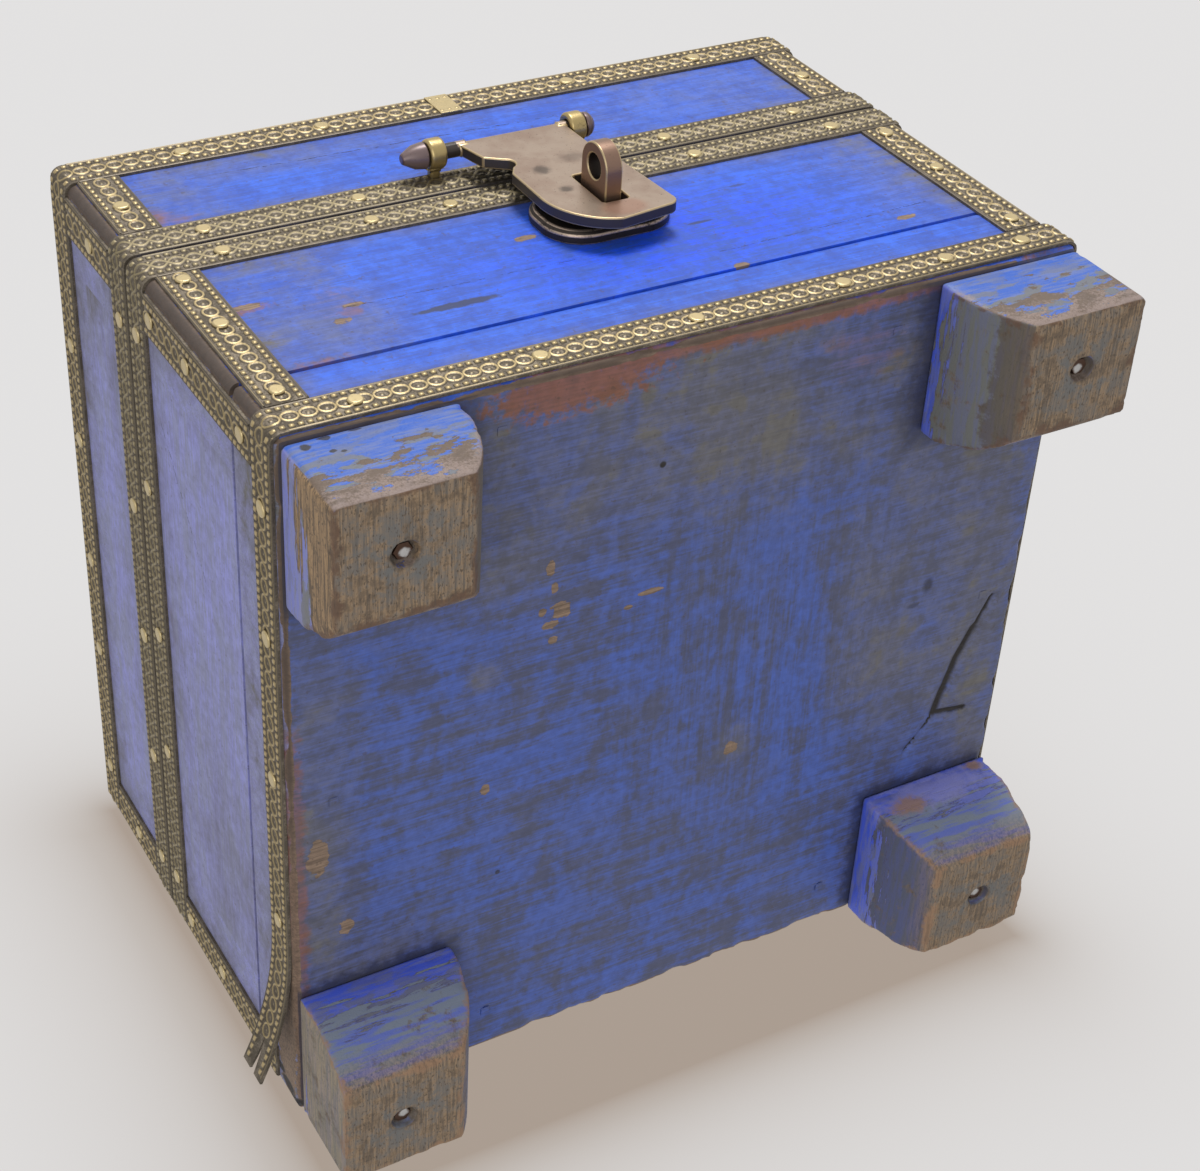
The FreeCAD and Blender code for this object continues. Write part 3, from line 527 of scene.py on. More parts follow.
# Worn places in millimetres. Cracks: start, end, width and waver. All others: centre, radius, ragged edge,
# softness and strength.
MARK_KINDS = ("losses", "fresh", "scratches", "rubs", "dirt", "holes")
FRONT_MARKS = {
    "losses": (
        ((-78.0, FRONT, 70.5), (3.6, 3.0, 1.3), 1.8, 0.25, 0.62),
        ((-14.2, FRONT, 74.0), (2.4, 3.0, 1.2), 1.2, 0.25, 0.75),
        ((65.2, FRONT, 49.2), (2.6, 3.0, 1.0), 1.4, 0.25, 0.70),
        ((-58.0, FRONT, 63.0), (2.6, 3.0, 0.9), 1.6, 0.25, 0.50),
        ((-63.0, FRONT, 58.0), (2.0, 3.0, 1.4), 1.6, 0.25, 0.50),
        ((21.0, FRONT, 45.2), (2.0, 3.0, 1.0), 0.8, 0.25, 0.80),
    ),
    "fresh": (
        ((14.0, FRONT, 62.0), (36.0, 6.0, 17.0), 1.6, 0.9, 1.0),
        ((-18.0, FRONT, 66.0), (22.0, 6.0, 10.0), 1.6, 0.9, 0.50),
    ),
    "scratches": (
        ((-39.2, FRONT, 54.5), (10.0, 3.0, 1.15), 1.1, 0.2, 0.9),
        ((-40.6, FRONT, 42.7), (4.4, 3.0, 0.75), 0.9, 0.2, 0.95),
        ((23.2, FRONT, 65.3), (3.0, 3.0, 0.5), 0.6, 0.2, 0.8),
        ((40.0, FRONT, 77.0), (2.2, 3.0, 0.5), 0.8, 0.2, 0.6),
    ),
    "rubs": (
        ((-73.0, FRONT, 41.0), (9.0, 6.0, 6.0), 1.6, 0.5, 0.85),
        ((-77.0, FRONT, 70.0), (5.0, 6.0, 2.0), 2.2, 0.6, 0.80),
        ((-60.0, FRONT, 60.5), (3.2, 6.0, 2.4), 2.2, 0.6, 0.75),
        ((60.0, FRONT, 34.9), (30.0, 6.0, 2.6), 1.2, 0.5, 0.80),
        ((-61.0, FRONT, 65.0), (8.0, 6.0, 8.0), 1.6, 0.6, 0.50),
        ((0.0, FRONT, 35.0), (80.0, 6.0, 2.0), 1.2, 0.6, 0.50),
        ((-77.0, FRONT, 112.0), (6.0, 6.0, 5.0), 1.6, 0.6, 0.45),
    ),
    "dirt": (
        ((-70.0, FRONT, 80.0), (13.0, 6.0, 9.0), 1.6, 0.6, 0.80),
        ((-66.0, FRONT, 58.0), (14.0, 6.0, 14.0), 1.6, 0.6, 0.62),
        ((-70.0, FRONT, 40.0), (16.0, 6.0, 8.0), 1.6, 0.6, 0.70),
        ((79.0, FRONT, 80.0), (16.0, 6.0, 10.0), 1.6, 0.7, 0.85),
        ((74.0, FRONT, 56.0), (9.0, 6.0, 24.0), 1.6, 0.7, 0.55),
        ((20.0, FRONT, 37.0), (80.0, 6.0, 4.0), 1.2, 0.6, 0.45),
        ((-50.0, FRONT, 128.0), (40.0, 6.0, 5.0), 1.2, 0.7, 0.50),
        ((60.0, FRONT, 121.0), (30.0, 6.0, 11.0), 1.4, 0.7, 0.45),
        ((-74.0, FRONT, 120.0), (10.0, 6.0, 14.0), 1.6, 0.6, 0.66),
    ),
    "cracks": (
        ((-60.0, FRONT, 62.5), (10.0, FRONT, 61.0), 0.22, 1.5),
        ((20.0, FRONT, 52.0), (75.0, FRONT, 53.5), 0.25, 1.5),
        ((-60.0, FRONT, 127.0), (20.0, FRONT, 124.5), 0.3, 1.8),
    ),
}
SIDE_MARKS = {
    "dirt": (
        ((LEFT, -80.0, 60.0), (6.0, 12.0, 60.0), 1.0, 0.5, 0.75),
        ((LEFT, -74.0, 122.0), (6.0, 16.0, 14.0), 1.0, 0.6, 0.70),
        ((LEFT, 50.0, 50.0), (6.0, 30.0, 30.0), 1.2, 0.8, 0.55),
    ),
    "cracks": (
        ((LEFT, -58.0, 84.0), (LEFT, -30.0, 62.0), 0.3, 2.0),
        ((LEFT, 0.0, 80.0), (LEFT, 30.0, 74.0), 0.25, 2.0),
    ),
}
UNDER_MARKS = {
    "losses": (
        ((-34.1, -43.4, UNDER), (1.0, 2.0, 3.0), 1.6, 0.25, 0.72),
        ((-31.2, -31.9, UNDER), (2.2, 2.6, 3.0), 1.9, 0.25, 0.78),
        ((-33.4, -28.9, UNDER), (2.2, 1.0, 3.0), 1.5, 0.25, 0.75),
        ((-32.9, -38.0, UNDER), (0.9, 1.4, 3.0), 1.6, 0.25, 0.70),
        ((-32.7, -24.7, UNDER), (1.2, 1.2, 3.0), 1.5, 0.25, 0.72),
        ((-35.6, -32.6, UNDER), (0.9, 1.0, 3.0), 1.5, 0.25, 0.70),
        ((-9.6, -29.9, UNDER), (2.8, 0.8, 3.0), 1.4, 0.25, 0.70),
        ((-15.0, -27.4, UNDER), (1.2, 0.6, 3.0), 1.4, 0.25, 0.65),
        ((-47.6, 10.1, UNDER), (1.1, 1.5, 3.0), 1.6, 0.25, 0.72),
        ((-86.0, 14.0, UNDER), (2.6, 5.0, 3.0), 1.9, 0.25, 0.75),
        ((14.8, 21.5, UNDER), (2.0, 1.8, 3.0), 1.6, 0.25, 0.68),
        ((-80.0, 36.0, UNDER), (1.8, 2.2, 3.0), 1.9, 0.25, 0.60),
        ((LEFT, 56.0, UNDER + 6.0), (3.0, 34.0, 6.0), 1.2, 0.3, 0.90),
    ),
    "rubs": (
        ((-30.0, -85.0, UNDER), (20.0, 6.5, 6.0), 2.2, 0.45, 1.05),
        ((14.0, -87.0, UNDER), (64.0, 2.4, 6.0), 1.8, 0.6, 0.95),
        ((38.0, -76.0, UNDER), (16.0, 10.0, 6.0), 1.6, 0.7, 0.50),
        ((-91.0, 20.0, UNDER), (3.0, 50.0, 6.0), 1.4, 0.5, 0.80),
    ),
    "dirt": (
        ((2.0, -68.0, UNDER), (72.0, 22.0, 6.0), 1.2, 0.6, 0.95),
        ((68.0, -12.0, UNDER), (26.0, 52.0, 6.0), 0.8, 0.35, 0.75),
        ((82.0, 36.0, UNDER), (12.0, 20.0, 6.0), 1.2, 0.6, 0.80),
        ((-60.0, -48.0, UNDER), (30.0, 10.0, 6.0), 1.2, 0.7, 0.75),
        ((-47.9, -20.6, UNDER), (3.6, 3.0, 6.0), 1.6, 0.6, 1.10),
        ((16.0, 20.0, UNDER), (4.4, 5.0, 6.0), 1.6, 0.6, 1.00),
        ((-72.0, 56.0, UNDER), (20.0, 14.0, 6.0), 1.2, 0.7, 0.60),
        ((-86.0, 0.0, UNDER), (8.0, 60.0, 6.0), 1.2, 0.7, 0.80),
    ),
    "holes": (
        ((-9.2, -61.1, UNDER), (0.7, 0.7, 2.0), 0.3, 0.3, 1.0),
        ((65.1, -8.1, UNDER), (1.3, 1.9, 2.0), 0.5, 0.5, 0.7),
        ((61.6, -3.4, UNDER), (1.4, 0.6, 2.0), 0.5, 0.5, 0.5),
        ((LEFT, 82.2, 33.5), (3.0, 1.3, 2.8), 0.4, 0.3, 0.95),
        ((LEFT, 84.4, 29.0), (3.0, 1.7, 3.4), 0.4, 0.3, 0.95),
        ((LEFT, 86.2, 24.8), (3.0, 1.5, 3.0), 0.4, 0.3, 0.95),
        ((-44.0, 35.0, UNDER), (0.6, 0.6, 2.0), 0.3, 0.3, 0.8),
    ),
    "cracks": (
        ((85.8, 1.8, UNDER), (81.8, 10.1, UNDER), 1.7, 0.9),
        ((81.8, 10.1, UNDER), (78.1, 17.8, UNDER), 2.9, 0.9),
        ((78.1, 17.8, UNDER), (75.7, 26.0, UNDER), 2.8, 0.9),
        ((75.7, 26.0, UNDER), (74.0, 32.8, UNDER), 3.3, 0.9),
        ((74.0, 32.8, UNDER), (83.1, 34.4, UNDER), 2.0, 0.9),
        ((74.0, 32.8, UNDER), (66.5, 41.7, UNDER), 1.1, 1.2),
    ),
}
# Where the brush ran from front to back on the underside.
UNDER_CROSS = (((20.0, -2.0, UNDER), (30.0, 42.0, 8.0), 1.6, 0.9, 0.9),)


def painted_wood(name, stretch, soil, marks, cross=(), underside=False):
    """Old paint on wood; each outer face of the box has its own blue, and the inside is bare."""
    paint = bpy.context.scene.box_paint
    material, shader, place = new_material(name)
    found = {kind: marked(place, marks.get(kind, ())) for kind in MARK_KINDS}
    face = use("box faces", make_box_faces, {"Place": place})
    across, along, height = split(place).values()
    base = blend(face["Bottom"], blend(face["Side"], paint.front, paint.side), paint.bottom)
    base = blend(found["fresh"], base, paint.fresh)
    streak = blend(face["Side"], paint.front_streak, paint.side_streak)
    streak = blend(face["Bottom"], streak, paint.bottom_streak)
    arris = between(face["Edge"], 3.0, 1.2, 0.0, 0.95)
    handled = paint.arris
    if underside:
        # The wear is narrower round the underside, and least along its right edge.
        low = between(height, UNDER + 9.0, UNDER + 6.0)
        arris = mixed(low, arris, between(face["Edge"], 2.0, 0.6, 0.0, 0.95))
        # Along the underside's front half the arris is near black: painted shade of the gap below the belt.
        # Further back it is orange-brown wear.
        rear = blend(between(along, -10.0, 30.0), paint.wood_dark, paint.edge_wood)
        handled = blend(low, handled, rear)
        kept = between(across, 60.0, 86.0, 0.0, 0.85) * between(height, UNDER + 5.0, UNDER + 2.0)
        arris = arris * (1.0 - kept)
    wear = largest(arris, face["Inside"], found["losses"])
    wood = blend(arris, paint.wood, handled)
    # Dust gathers along the strips in a ragged border.
    drift = cloud(place, 0.11, 6.0, 0.65) - 0.5
    border = face["Border"] + drift * mixed(face["Side"], 8.0, 26.0)
    dust = between(border, mixed(face["Side"], 6.0, 12.0), 0.0) * (0.55 - face["Bottom"] * 0.55)
    everywhere, sides, below = soil
    dirt = face["Side"] * sides + face["Bottom"] * below + everywhere + dust + found["dirt"]
    dirt = dirt * (1.0 - found["fresh"])
    coat = use("flaking paint", make_flaking_paint,
               {"Place": place, "Stretch": stretch, "Cross": marked(place, cross), "Paint": base,
                "Streak": streak, "Grime": paint.grime, "Wood": wood, "Dark Wood": paint.wood_dark,
                "Rubbed": paint.red_wood, "Dirt": dirt, "Wear": wear, "Rub": dust * 0.55 + found["rubs"]})
    colour = blend(found["scratches"], coat["Color"], paint.scratch)
    level = place
    if underside:
        # Cracks are drawn on the board's flat face, because its crack is sunk; painted contact shade, with
        # some grime, lies beside the feet.
        level = vectors("ADD", stretched(place, (1.0, 1.0, 0.0)), (0.0, 0.0, UNDER))
        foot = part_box("foot_back_right")[0] / MM
        beside = largest(foot.x - maths("ABSOLUTE", across), foot.y - maths("ABSOLUTE", along))
        beside = beside + (cloud(place, 0.35, 4.0, 0.6) - 0.5) * 7.0
        # Painted contact shade, with some grime: the underside darkens next to each foot, wider towards the
        # front.
        grime = between(beside, between(along, -60.0, 40.0, 7.5, 4.0), 0.3) * 0.75
        colour = blend(grime * face["Bottom"], colour, paint.corner)
    deep = largest(found["holes"], *[crack(level, *line) for line in marks["cracks"]])
    colour = blend(deep, colour, paint.crack)
    dress(shader, colour, coat["Roughness"], coat["Height"] - deep * 1.5, 0.55, 0.35)
    return material


# Middle of a sole's nail from the middle of the box, in millimetres.
FOOT_NAIL = [sum(abs(vert.co[axis]) for vert in NODES["foot_nails"].data.vertices)
             / len(NODES["foot_nails"].data.vertices) / MM for axis in (0, 1)]
# Painted glint on a sole's nail, the only bright spot on it: centre and radius.
NAIL_GLINT = ((FOOT_NAIL[0] - 0.4, FOOT_NAIL[1] - 0.4, 1.0), (1.0, 1.0, 4.0))
# Rubbed places on the front of a rear foot.
FOOT_RUBS = (((64.5, 53.5, 16.0), (5.0, 4.0, 2.6), 1.8, 0.4, 0.85),
             ((87.0, 53.5, 20.5), (2.4, 4.0, 1.6), 1.6, 0.4, 0.85))
# Faded paint on the front of the right rear foot, painted paler as well to stand in for light that the box
# keeps off it.
FOOT_FADE_AND_LIGHT = (((73.0, 53.0, 18.0), (15.0, 5.0, 4.5), 1.8, 0.5, 0.85),)
# Worm and nail holes in the front of the left front foot.
FOOT_HOLES = (((-87.4, FRONT, 19.9), (1.0, 4.0, 1.0), 1.6, 0.2, 0.95),
              ((-83.5, FRONT, 16.9), (0.8, 4.0, 0.6), 1.6, 0.2, 0.90),
              ((-81.7, FRONT, 16.1), (0.6, 4.0, 0.5), 1.6, 0.2, 0.90),
              ((-83.0, FRONT, 21.6), (1.2, 4.0, 0.7), 1.8, 0.2, 0.90),
              ((-77.0, FRONT, 21.9), (1.4, 4.0, 0.5), 0.8, 0.2, 0.80))


def foot_wood():
    """Worn feet: flaking paint and grey patina on the sides, bare stained wood on the soles, rubbed edges."""
    feet = bpy.context.scene.box_feet
    material, shader, place = new_material("foot_wood")
    facing = split(attribute(place.tree, "facing", "Vector"))
    edge = attribute(place.tree, "edge")
    across, along, height = split(place).values()
    mirrored = vectors("ABSOLUTE", place)
    nail_middle = (*FOOT_NAIL, 0.0)

    def rising(base, start, reach, gain):
        return base + (height - start) * (gain / reach)

    # Which face of a foot a point lies on.
    rear = between(along, -5.0, 5.0)
    upright = between(facing["Z"], -0.8, -0.45)
    side = between(maths("ABSOLUTE", facing["X"]), 0.5, 0.8)
    outer = side * maths("GREATER_THAN", facing["X"] * across, 0.0)
    inner = side - outer
    front = between(facing["Y"], -0.5, -0.8) * (1.0 - rear)
    # Patterns of the grain, the stains and the flaked edges.
    fibre = cloud(stretched(place, (1.0, 0.05, 1.0)), 1.9, 5.0, 0.7)
    mottle = cloud(place, 0.17, 7.0, 0.7)
    speck = cloud(stretched(place, (1.0, 0.4, 1.0)), 2.4, 2.0, 0.5)
    ragged = between(cloud(stretched(place, (0.45, 0.45, 1.0)), 0.30, 8.0, 0.64), 0.28, 0.72)
    streaks = cloud(stretched(place, (0.10, 0.10, 1.0)), 0.8, 5.0, 0.62)
    tongues = cloud(stretched(place, (1.0, 0.07, 1.0)), 0.5, 5.0, 0.6)
    flakes = cloud(stretched(place, (0.3, 0.3, 0.9)), 0.34, 7.0, 0.62)
    # Bare wood, stained on the soles.
    wood = blend(between(fibre, 0.34, 0.64, 0.1, 1.0), feet.wood_dark, feet.wood)
    wood = blend(between(mottle, 0.50, 0.38, 0.0, 0.6), wood, feet.wood_dark)
    touched = spot(mirrored, nail_middle, (13.0, 10.0, 6.0), 1.8, 0.8)
    stain = between(mottle, 0.42, 0.58, 0.15, 0.95) * mixed(touched, 0.35, 1.0)
    wood = blend(stain * (1.0 - upright), wood, feet.stain)
    wood = blend(between(speck, 0.57, 0.68, 0.0, 0.85), wood, feet.wood_dark)
    # Where paint is left, and the dark rim about it: painted shade under the paint's edge.
    slope = 34.6 + along * 0.3
    outer_level = rising(tongues + slope * 0.036, 13.0, 14.0, 0.5) - 0.468 - rear * 2.0
    level = mixed(front, rising(streaks, 13.5, 10.0, 0.28), rising(ragged, 8.0, 14.0, 0.62))
    level = mixed(outer, level, outer_level)
    level = mixed(inner, level, rising(streaks, mixed(rear, 18.5, 14.5), 8.0, 0.30))
    left = between(level, 0.51, 0.53) * upright
    rim = maths("SUBTRACT", between(level, 0.48, 0.51), left, clamp=True) * upright
    # Patina on the upright faces, and the blue of each face.
    bare = maths("ADD", front, outer * mixed(rear, 1.0, 0.5), clamp=True)
    haze = maths("SUBTRACT", upright, bare, clamp=True) * between(mottle, 0.30, 0.46)
    patina = blend(maths("SUBTRACT", rear, side, clamp=True), feet.patina, feet.blue_patina)
    patina = blend(inner, patina, blend(rear, feet.shadow_patina, feet.deep_patina))
    blue = between(streaks, 0.44, 0.58) * mixed(side, 0.55, 0.12)
    patina = blend(blue, patina, feet.inner_paint)
    tint = blend(side, feet.paint, feet.side_paint)
    tint = blend(largest(inner, rear), tint, feet.inner_paint)
    tint = blend(between(streaks, 0.42, 0.62, 0.0, 0.35), tint, feet.patina)
    # The layers, from the wood outwards.
    colour = blend(haze, wood, patina)
    pale = front * between(fibre, 0.3, 0.6, 0.55, 0.95)
    grit = rising(speck * 0.45 + ragged * 0.30 + mottle * 0.25, 7.0, 10.0, -0.12)
    ground = blend(between(grit, 0.40, 0.62, 0.25, 1.0), feet.wood_dark, feet.pale_wood)
    colour = blend(pale, colour, ground)
    # Painted shade along the edge of the paint left on the feet.
    colour = blend(rim * 0.75, colour, feet.wood_dark)
    colour = blend(left, colour, tint)
    worn = between(flakes, 0.50, 0.54) * between(height, 19.0, 12.0, 0.35, 0.9)
    colour = blend(worn * left, colour, feet.shadow_patina)
    # Faded paint, also painted paler to stand in for light that the box keeps off this face.
    colour = blend(marked(place, FOOT_FADE_AND_LIGHT), colour, feet.faded_and_lit_paint)
    uneven = height + (mottle - 0.5) * 12.0
    band = inner * between(uneven, 7.5, 6.0, 0.0, 0.65) * (1.0 - rear)
    colour = blend(band, colour, feet.wood_dark)
    # Rubbed edges, the dark place about the nail (painted shade of the hollow it sits in), and holes.
    near = edge + (mottle - 0.5) * 9.0
    rubbed = between(near, 1.6, 0.2) * between(fibre, 0.3, 0.6, 0.35, 0.8) * between(height, 20.5, 17.5)
    nail = spot(mirrored, nail_middle, (3.0, 3.0, 4.0), 1.0, 0.3)
    rubbed = largest(rubbed * (1.0 - nail), marked(place, FOOT_RUBS))
    # Painted shade in the hollow about the sole's nail.
    colour = blend(nail * 0.8, colour, feet.wood_dark)
    tan = blend(front, blend(rear, feet.dark_edge, feet.edge_wood), feet.pale_wood)
    colour = blend(rubbed, colour, tan)
    colour = blend(marked(place, FOOT_HOLES), colour, bpy.context.scene.box_paint.crack)
    relief = fibre * 0.5 + left * 0.45 + mottle * 0.5 - between(speck, 0.62, 0.70, 0.0, 0.4)
    dress(shader, colour, mixed(left, 0.74, 0.52), relief, 0.45, 0.4)
    return material


def aged_metal(name, bright, dark, tarnish, gloss, strength=0.35, raised=False, shaded_hollow=None, glint=None):
    """Old rubbed metal: the low parts of a raised pattern are dark; a hole gets painted shade; with a painted
    glint all else is dark.
    """
    material, shader, place = new_material(name)
    metal = use("aged metal", make_aged_metal,
                {"Place": place, "Bright": bright, "Dark": dark, "Tarnish": tarnish, "Gloss": gloss})
    colour = metal["Color"]
    if raised:
        colour = blend(between(attribute(place.tree, "relief"), 0.25, 0.85), dark, colour)
    if shaded_hollow:
        # Painted shade inside a hole.
        colour = blend(spot(place, *shaded_hollow, 0.0, 0.06), colour, dark)
    if glint:
        # A painted glint: all but one bright spot is dark.
        colour = blend(spot(vectors("ABSOLUTE", place), *glint, 1.6, 0.3), dark, colour)
    dress(shader, colour, metal["Roughness"], metal["Height"], strength, 0.12, 0.85)
    return material


# Dark stains on the hasp's face: across, height, half width, half height, softness and strength.
HASP_STAINS = ((-3.0, 88.0, 1.8, 1.8, 0.5, 0.7), (-2.5, 78.0, 1.5, 1.3, 0.5, 0.7),
               (6.0, 91.0, 3.0, 2.0, 0.6, 0.35))
# Painted shade inside the staple's hole: centre and radius, in millimetres.
STAPLE_HOLE_SHADE = ((4.7, -100.7, 76.0), (8.0, 2.95, 2.95))


def hasp_bronze(name, rubbed=False):
    """Satin face with brown clouds and spots, dark sides and neck, dark bullet end; golden where rubbed."""
    metal = bpy.context.scene.box_metal
    material, shader, place = new_material(name)
    across, depth, height = split(place).values()
    plate, left_eye, right_eye = ([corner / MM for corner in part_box(node)]
                                  for node in ("hasp_plate", "hasp_eye_left", "hasp_eye_right"))
    axis_y = (plate[0].y + plate[1].y) / 2
    axis_z = (left_eye[0].z + left_eye[1].z) / 2
    end = largest(maths("LESS_THAN", across, left_eye[0].x), maths("GREATER_THAN", across, right_eye[1].x))
    neck = largest(maths("LESS_THAN", across, left_eye[1].x + 3.2),
                   maths("GREATER_THAN", across, right_eye[0].x - 0.3))
    neck = neck * between(height, axis_z - 4.5, axis_z - 3.0)
    flat = maths("SUBTRACT", between(depth, axis_y - 0.95, axis_y - 1.15), neck, clamp=True)
    if rubbed:
        tone = blend(neck, metal.bronze_edge, metal.bronze_dark)
    else:
        clouded = between(cloud(place, 0.13, 5.0, 0.6), 0.38, 0.72, 0.0, 0.55)
        satin = blend(clouded, metal.bronze, metal.bronze_brown)
        warm = spot(place, (4.7, axis_y, 66.0), (5.0, 8.0, 3.4), 0.3, 0.3)
        satin = blend(warm * 0.6, satin, metal.bronze_red)
        stains = [((x, axis_y, z), (wide, 8.0, tall), 1.6, soft, strength)
                  for x, z, wide, tall, soft, strength in HASP_STAINS]
        satin = blend(marked(place, stains), satin, metal.bronze_dark)
        tone = blend(flat, metal.bronze_dark, satin)
    aged = use("aged metal", make_aged_metal,
               {"Place": place, "Bright": blend(end, tone, metal.bullet), "Dark": metal.bronze_dark,
                "Tarnish": 0.30 if rubbed else 0.14, "Gloss": 0.30})
    metallic = 0.8 if rubbed else mixed(flat, 0.3, 0.85)
    dress(shader, aged["Color"], aged["Roughness"], aged["Height"], 0.25, 0.1, metallic)
    return material


# Pieces

def new_host(name, data):
    """Puts a mesh or a lamp in the scene."""
    host = bpy.data.objects.new(name, data)
    bpy.context.scene.collection.objects.link(host)
    return host


def new_piece(name, mesh, body, slot, *nodes):
    """Places a finished mesh as a piece that rides on a body and stands for CAD nodes."""
    piece = new_host(name, mesh)
    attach(piece, body)
    if nodes:
        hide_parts(*nodes)


def cover(names, material):
    """Gives CAD nodes a material."""
    for name in names:
        mesh = NODES[name].data
        mesh.materials.clear()
        mesh.materials.append(material)


def merged_shape(node):
    """A copy of a CAD node with its loose triangles joined."""
    shape = bmesh.new()
    shape.from_mesh(NODES[node].data)
    bmesh.ops.remove_doubles(shape, verts=shape.verts, dist=1e-6)
    return shape


def as_mesh(name, shape):
    mesh = bpy.data.meshes.new(name)
    shape.to_mesh(mesh)
    shape.free()
    return mesh


def merged_copy(node):
    """A mesh of a CAD node with whole flat faces."""
    shape = merged_shape(node)
    bmesh.ops.dissolve_limit(shape, angle_limit=math.radians(0.5), verts=shape.verts, edges=shape.edges)
    return as_mesh(node + "_shape", shape)


def finished(host):
    """The mesh that a host object's modifiers make; the host is taken away."""
    graph = bpy.context.evaluated_depsgraph_get()
    mesh = bpy.data.meshes.new_from_object(host.evaluated_get(graph))
    host.modifiers.clear()
    bpy.data.objects.remove(host)
    return mesh


def worn_metal(node, body, slot, width, materials, segments=3):
    """Sets a copy with rounded edges in a CAD node's place; the rounded edges take the last material."""
    mesh = merged_copy(node)
    for material in materials:
        mesh.materials.append(material)
    mesh.shade_smooth()
    host = new_host(node + "_host", mesh)
    bevel = host.modifiers.new("worn edges", "BEVEL")
    bevel.width = width
    bevel.segments = segments
    bevel.limit_method = "ANGLE"
    bevel.angle_limit = math.radians(33)
    bevel.material = len(materials) - 1
    bevel.use_clamp_overlap = False
    flat = host.modifiers.new("flat faces", "WEIGHTED_NORMAL")
    flat.weight = 100
    new_piece(node + "_worn", finished(host), body, slot, node)


# The least angle of a sharp edge.
EDGE_ANGLE = math.radians(30)
# How far chips reach from an edge in millimetres, how close they lie, and how many there are.
CHIP_REACH = 3.5
CHIP_SCALE = 140
CHIP_BIAS = 0.12
CRACK_DEPTH = 1.6 * MM


def edge_tree(mesh):
    """Points a millimetre apart along the sharp edges of a shape, for finding the nearest."""
    shape = bmesh.new()
    for vert in mesh.vertices:
        shape.verts.new(vert.co)
    bmesh.ops.convex_hull(shape, input=shape.verts)
    points = []
    for edge in shape.edges:
        if len(edge.link_faces) == 2 and edge.calc_face_angle() > EDGE_ANGLE:
            start, end = (vert.co for vert in edge.verts)
            steps = max(1, math.ceil(edge.calc_length() / MM))
            points.extend(start.lerp(end, step / steps) for step in range(steps + 1))
    shape.free()
    edges = kdtree.KDTree(len(points))
    for index, point in enumerate(points):
        edges.insert(point, index)
    edges.balance()
    return edges


def worn_wood(name, voxel, rounds, chip, top, cracks=()):
    """A copy of a wooden node with rounded, chipped edges; it keeps its facing and distance to the edges."""
    whole = merged_copy(name)
    edges = edge_tree(whole)
    host = new_host(name + "_host", whole)
    remesh = host.modifiers.new("facets", "REMESH")
    remesh.mode = "VOXEL"
    remesh.voxel_size = voxel
    smooth = host.modifiers.new("worn", "SMOOTH")
    smooth.factor = 0.5
    smooth.iterations = rounds
    mesh = finished(host)
    normals = [vert.normal.copy() for vert in mesh.vertices]
    mesh.attributes.new("facing", "FLOAT_VECTOR", "POINT")
    mesh.attributes.new("edge", "FLOAT", "POINT")
    facing = mesh.attributes["facing"].data
    away = mesh.attributes["edge"].data
    for vert, normal in zip(mesh.vertices, normals):
        distance = edges.find(vert.co)[2] / MM
        facing[vert.index].vector = normal
        away[vert.index].value = distance
        if vert.co.z > top:
            continue
        rough = noise.fractal(vert.co * CHIP_SCALE, 1.0, 2.0, 4)
        depth = max(0.0, rough + CHIP_BIAS) * max(0.0, 1 - distance / CHIP_REACH) * chip
        for start, end, width, _ in cracks:
            first = Vector(start) * MM
            last = Vector(end) * MM
            share = min(1.0, max(0.0, (vert.co - first).dot(last - first) / (last - first).length_squared))
            off = (vert.co - first.lerp(last, share)).length / MM
            depth = max(depth, (1 - off / width) * CRACK_DEPTH)
        vert.co -= normal * depth
    mesh.shade_smooth()
    return mesh


def node_mesh(host, tree, values):
    """Runs a node tree on a host with the named inputs set; gives back a plain mesh."""
    modifier = host.modifiers.new(tree.name, "NODES")
    modifier.node_group = tree
    sockets = {item.name: item.identifier for item in tree.interface.items_tree if item.in_out == "INPUT"}
    for label, value in values.items():
        modifier[sockets[label]] = value
    return finished(host)


def joined(name, meshes):
    """One mesh from several, with their attributes kept."""
    hosts = [new_host(name, mesh) for mesh in meshes]
    with bpy.context.temp_override(active_object=hosts[0], object=hosts[0], selected_objects=hosts,
                                   selected_editable_objects=hosts):
        bpy.ops.object.join()
    mesh = hosts[0].data
    bpy.data.objects.remove(hosts[0])
    mesh.name = name
    return mesh


# Embossed strips

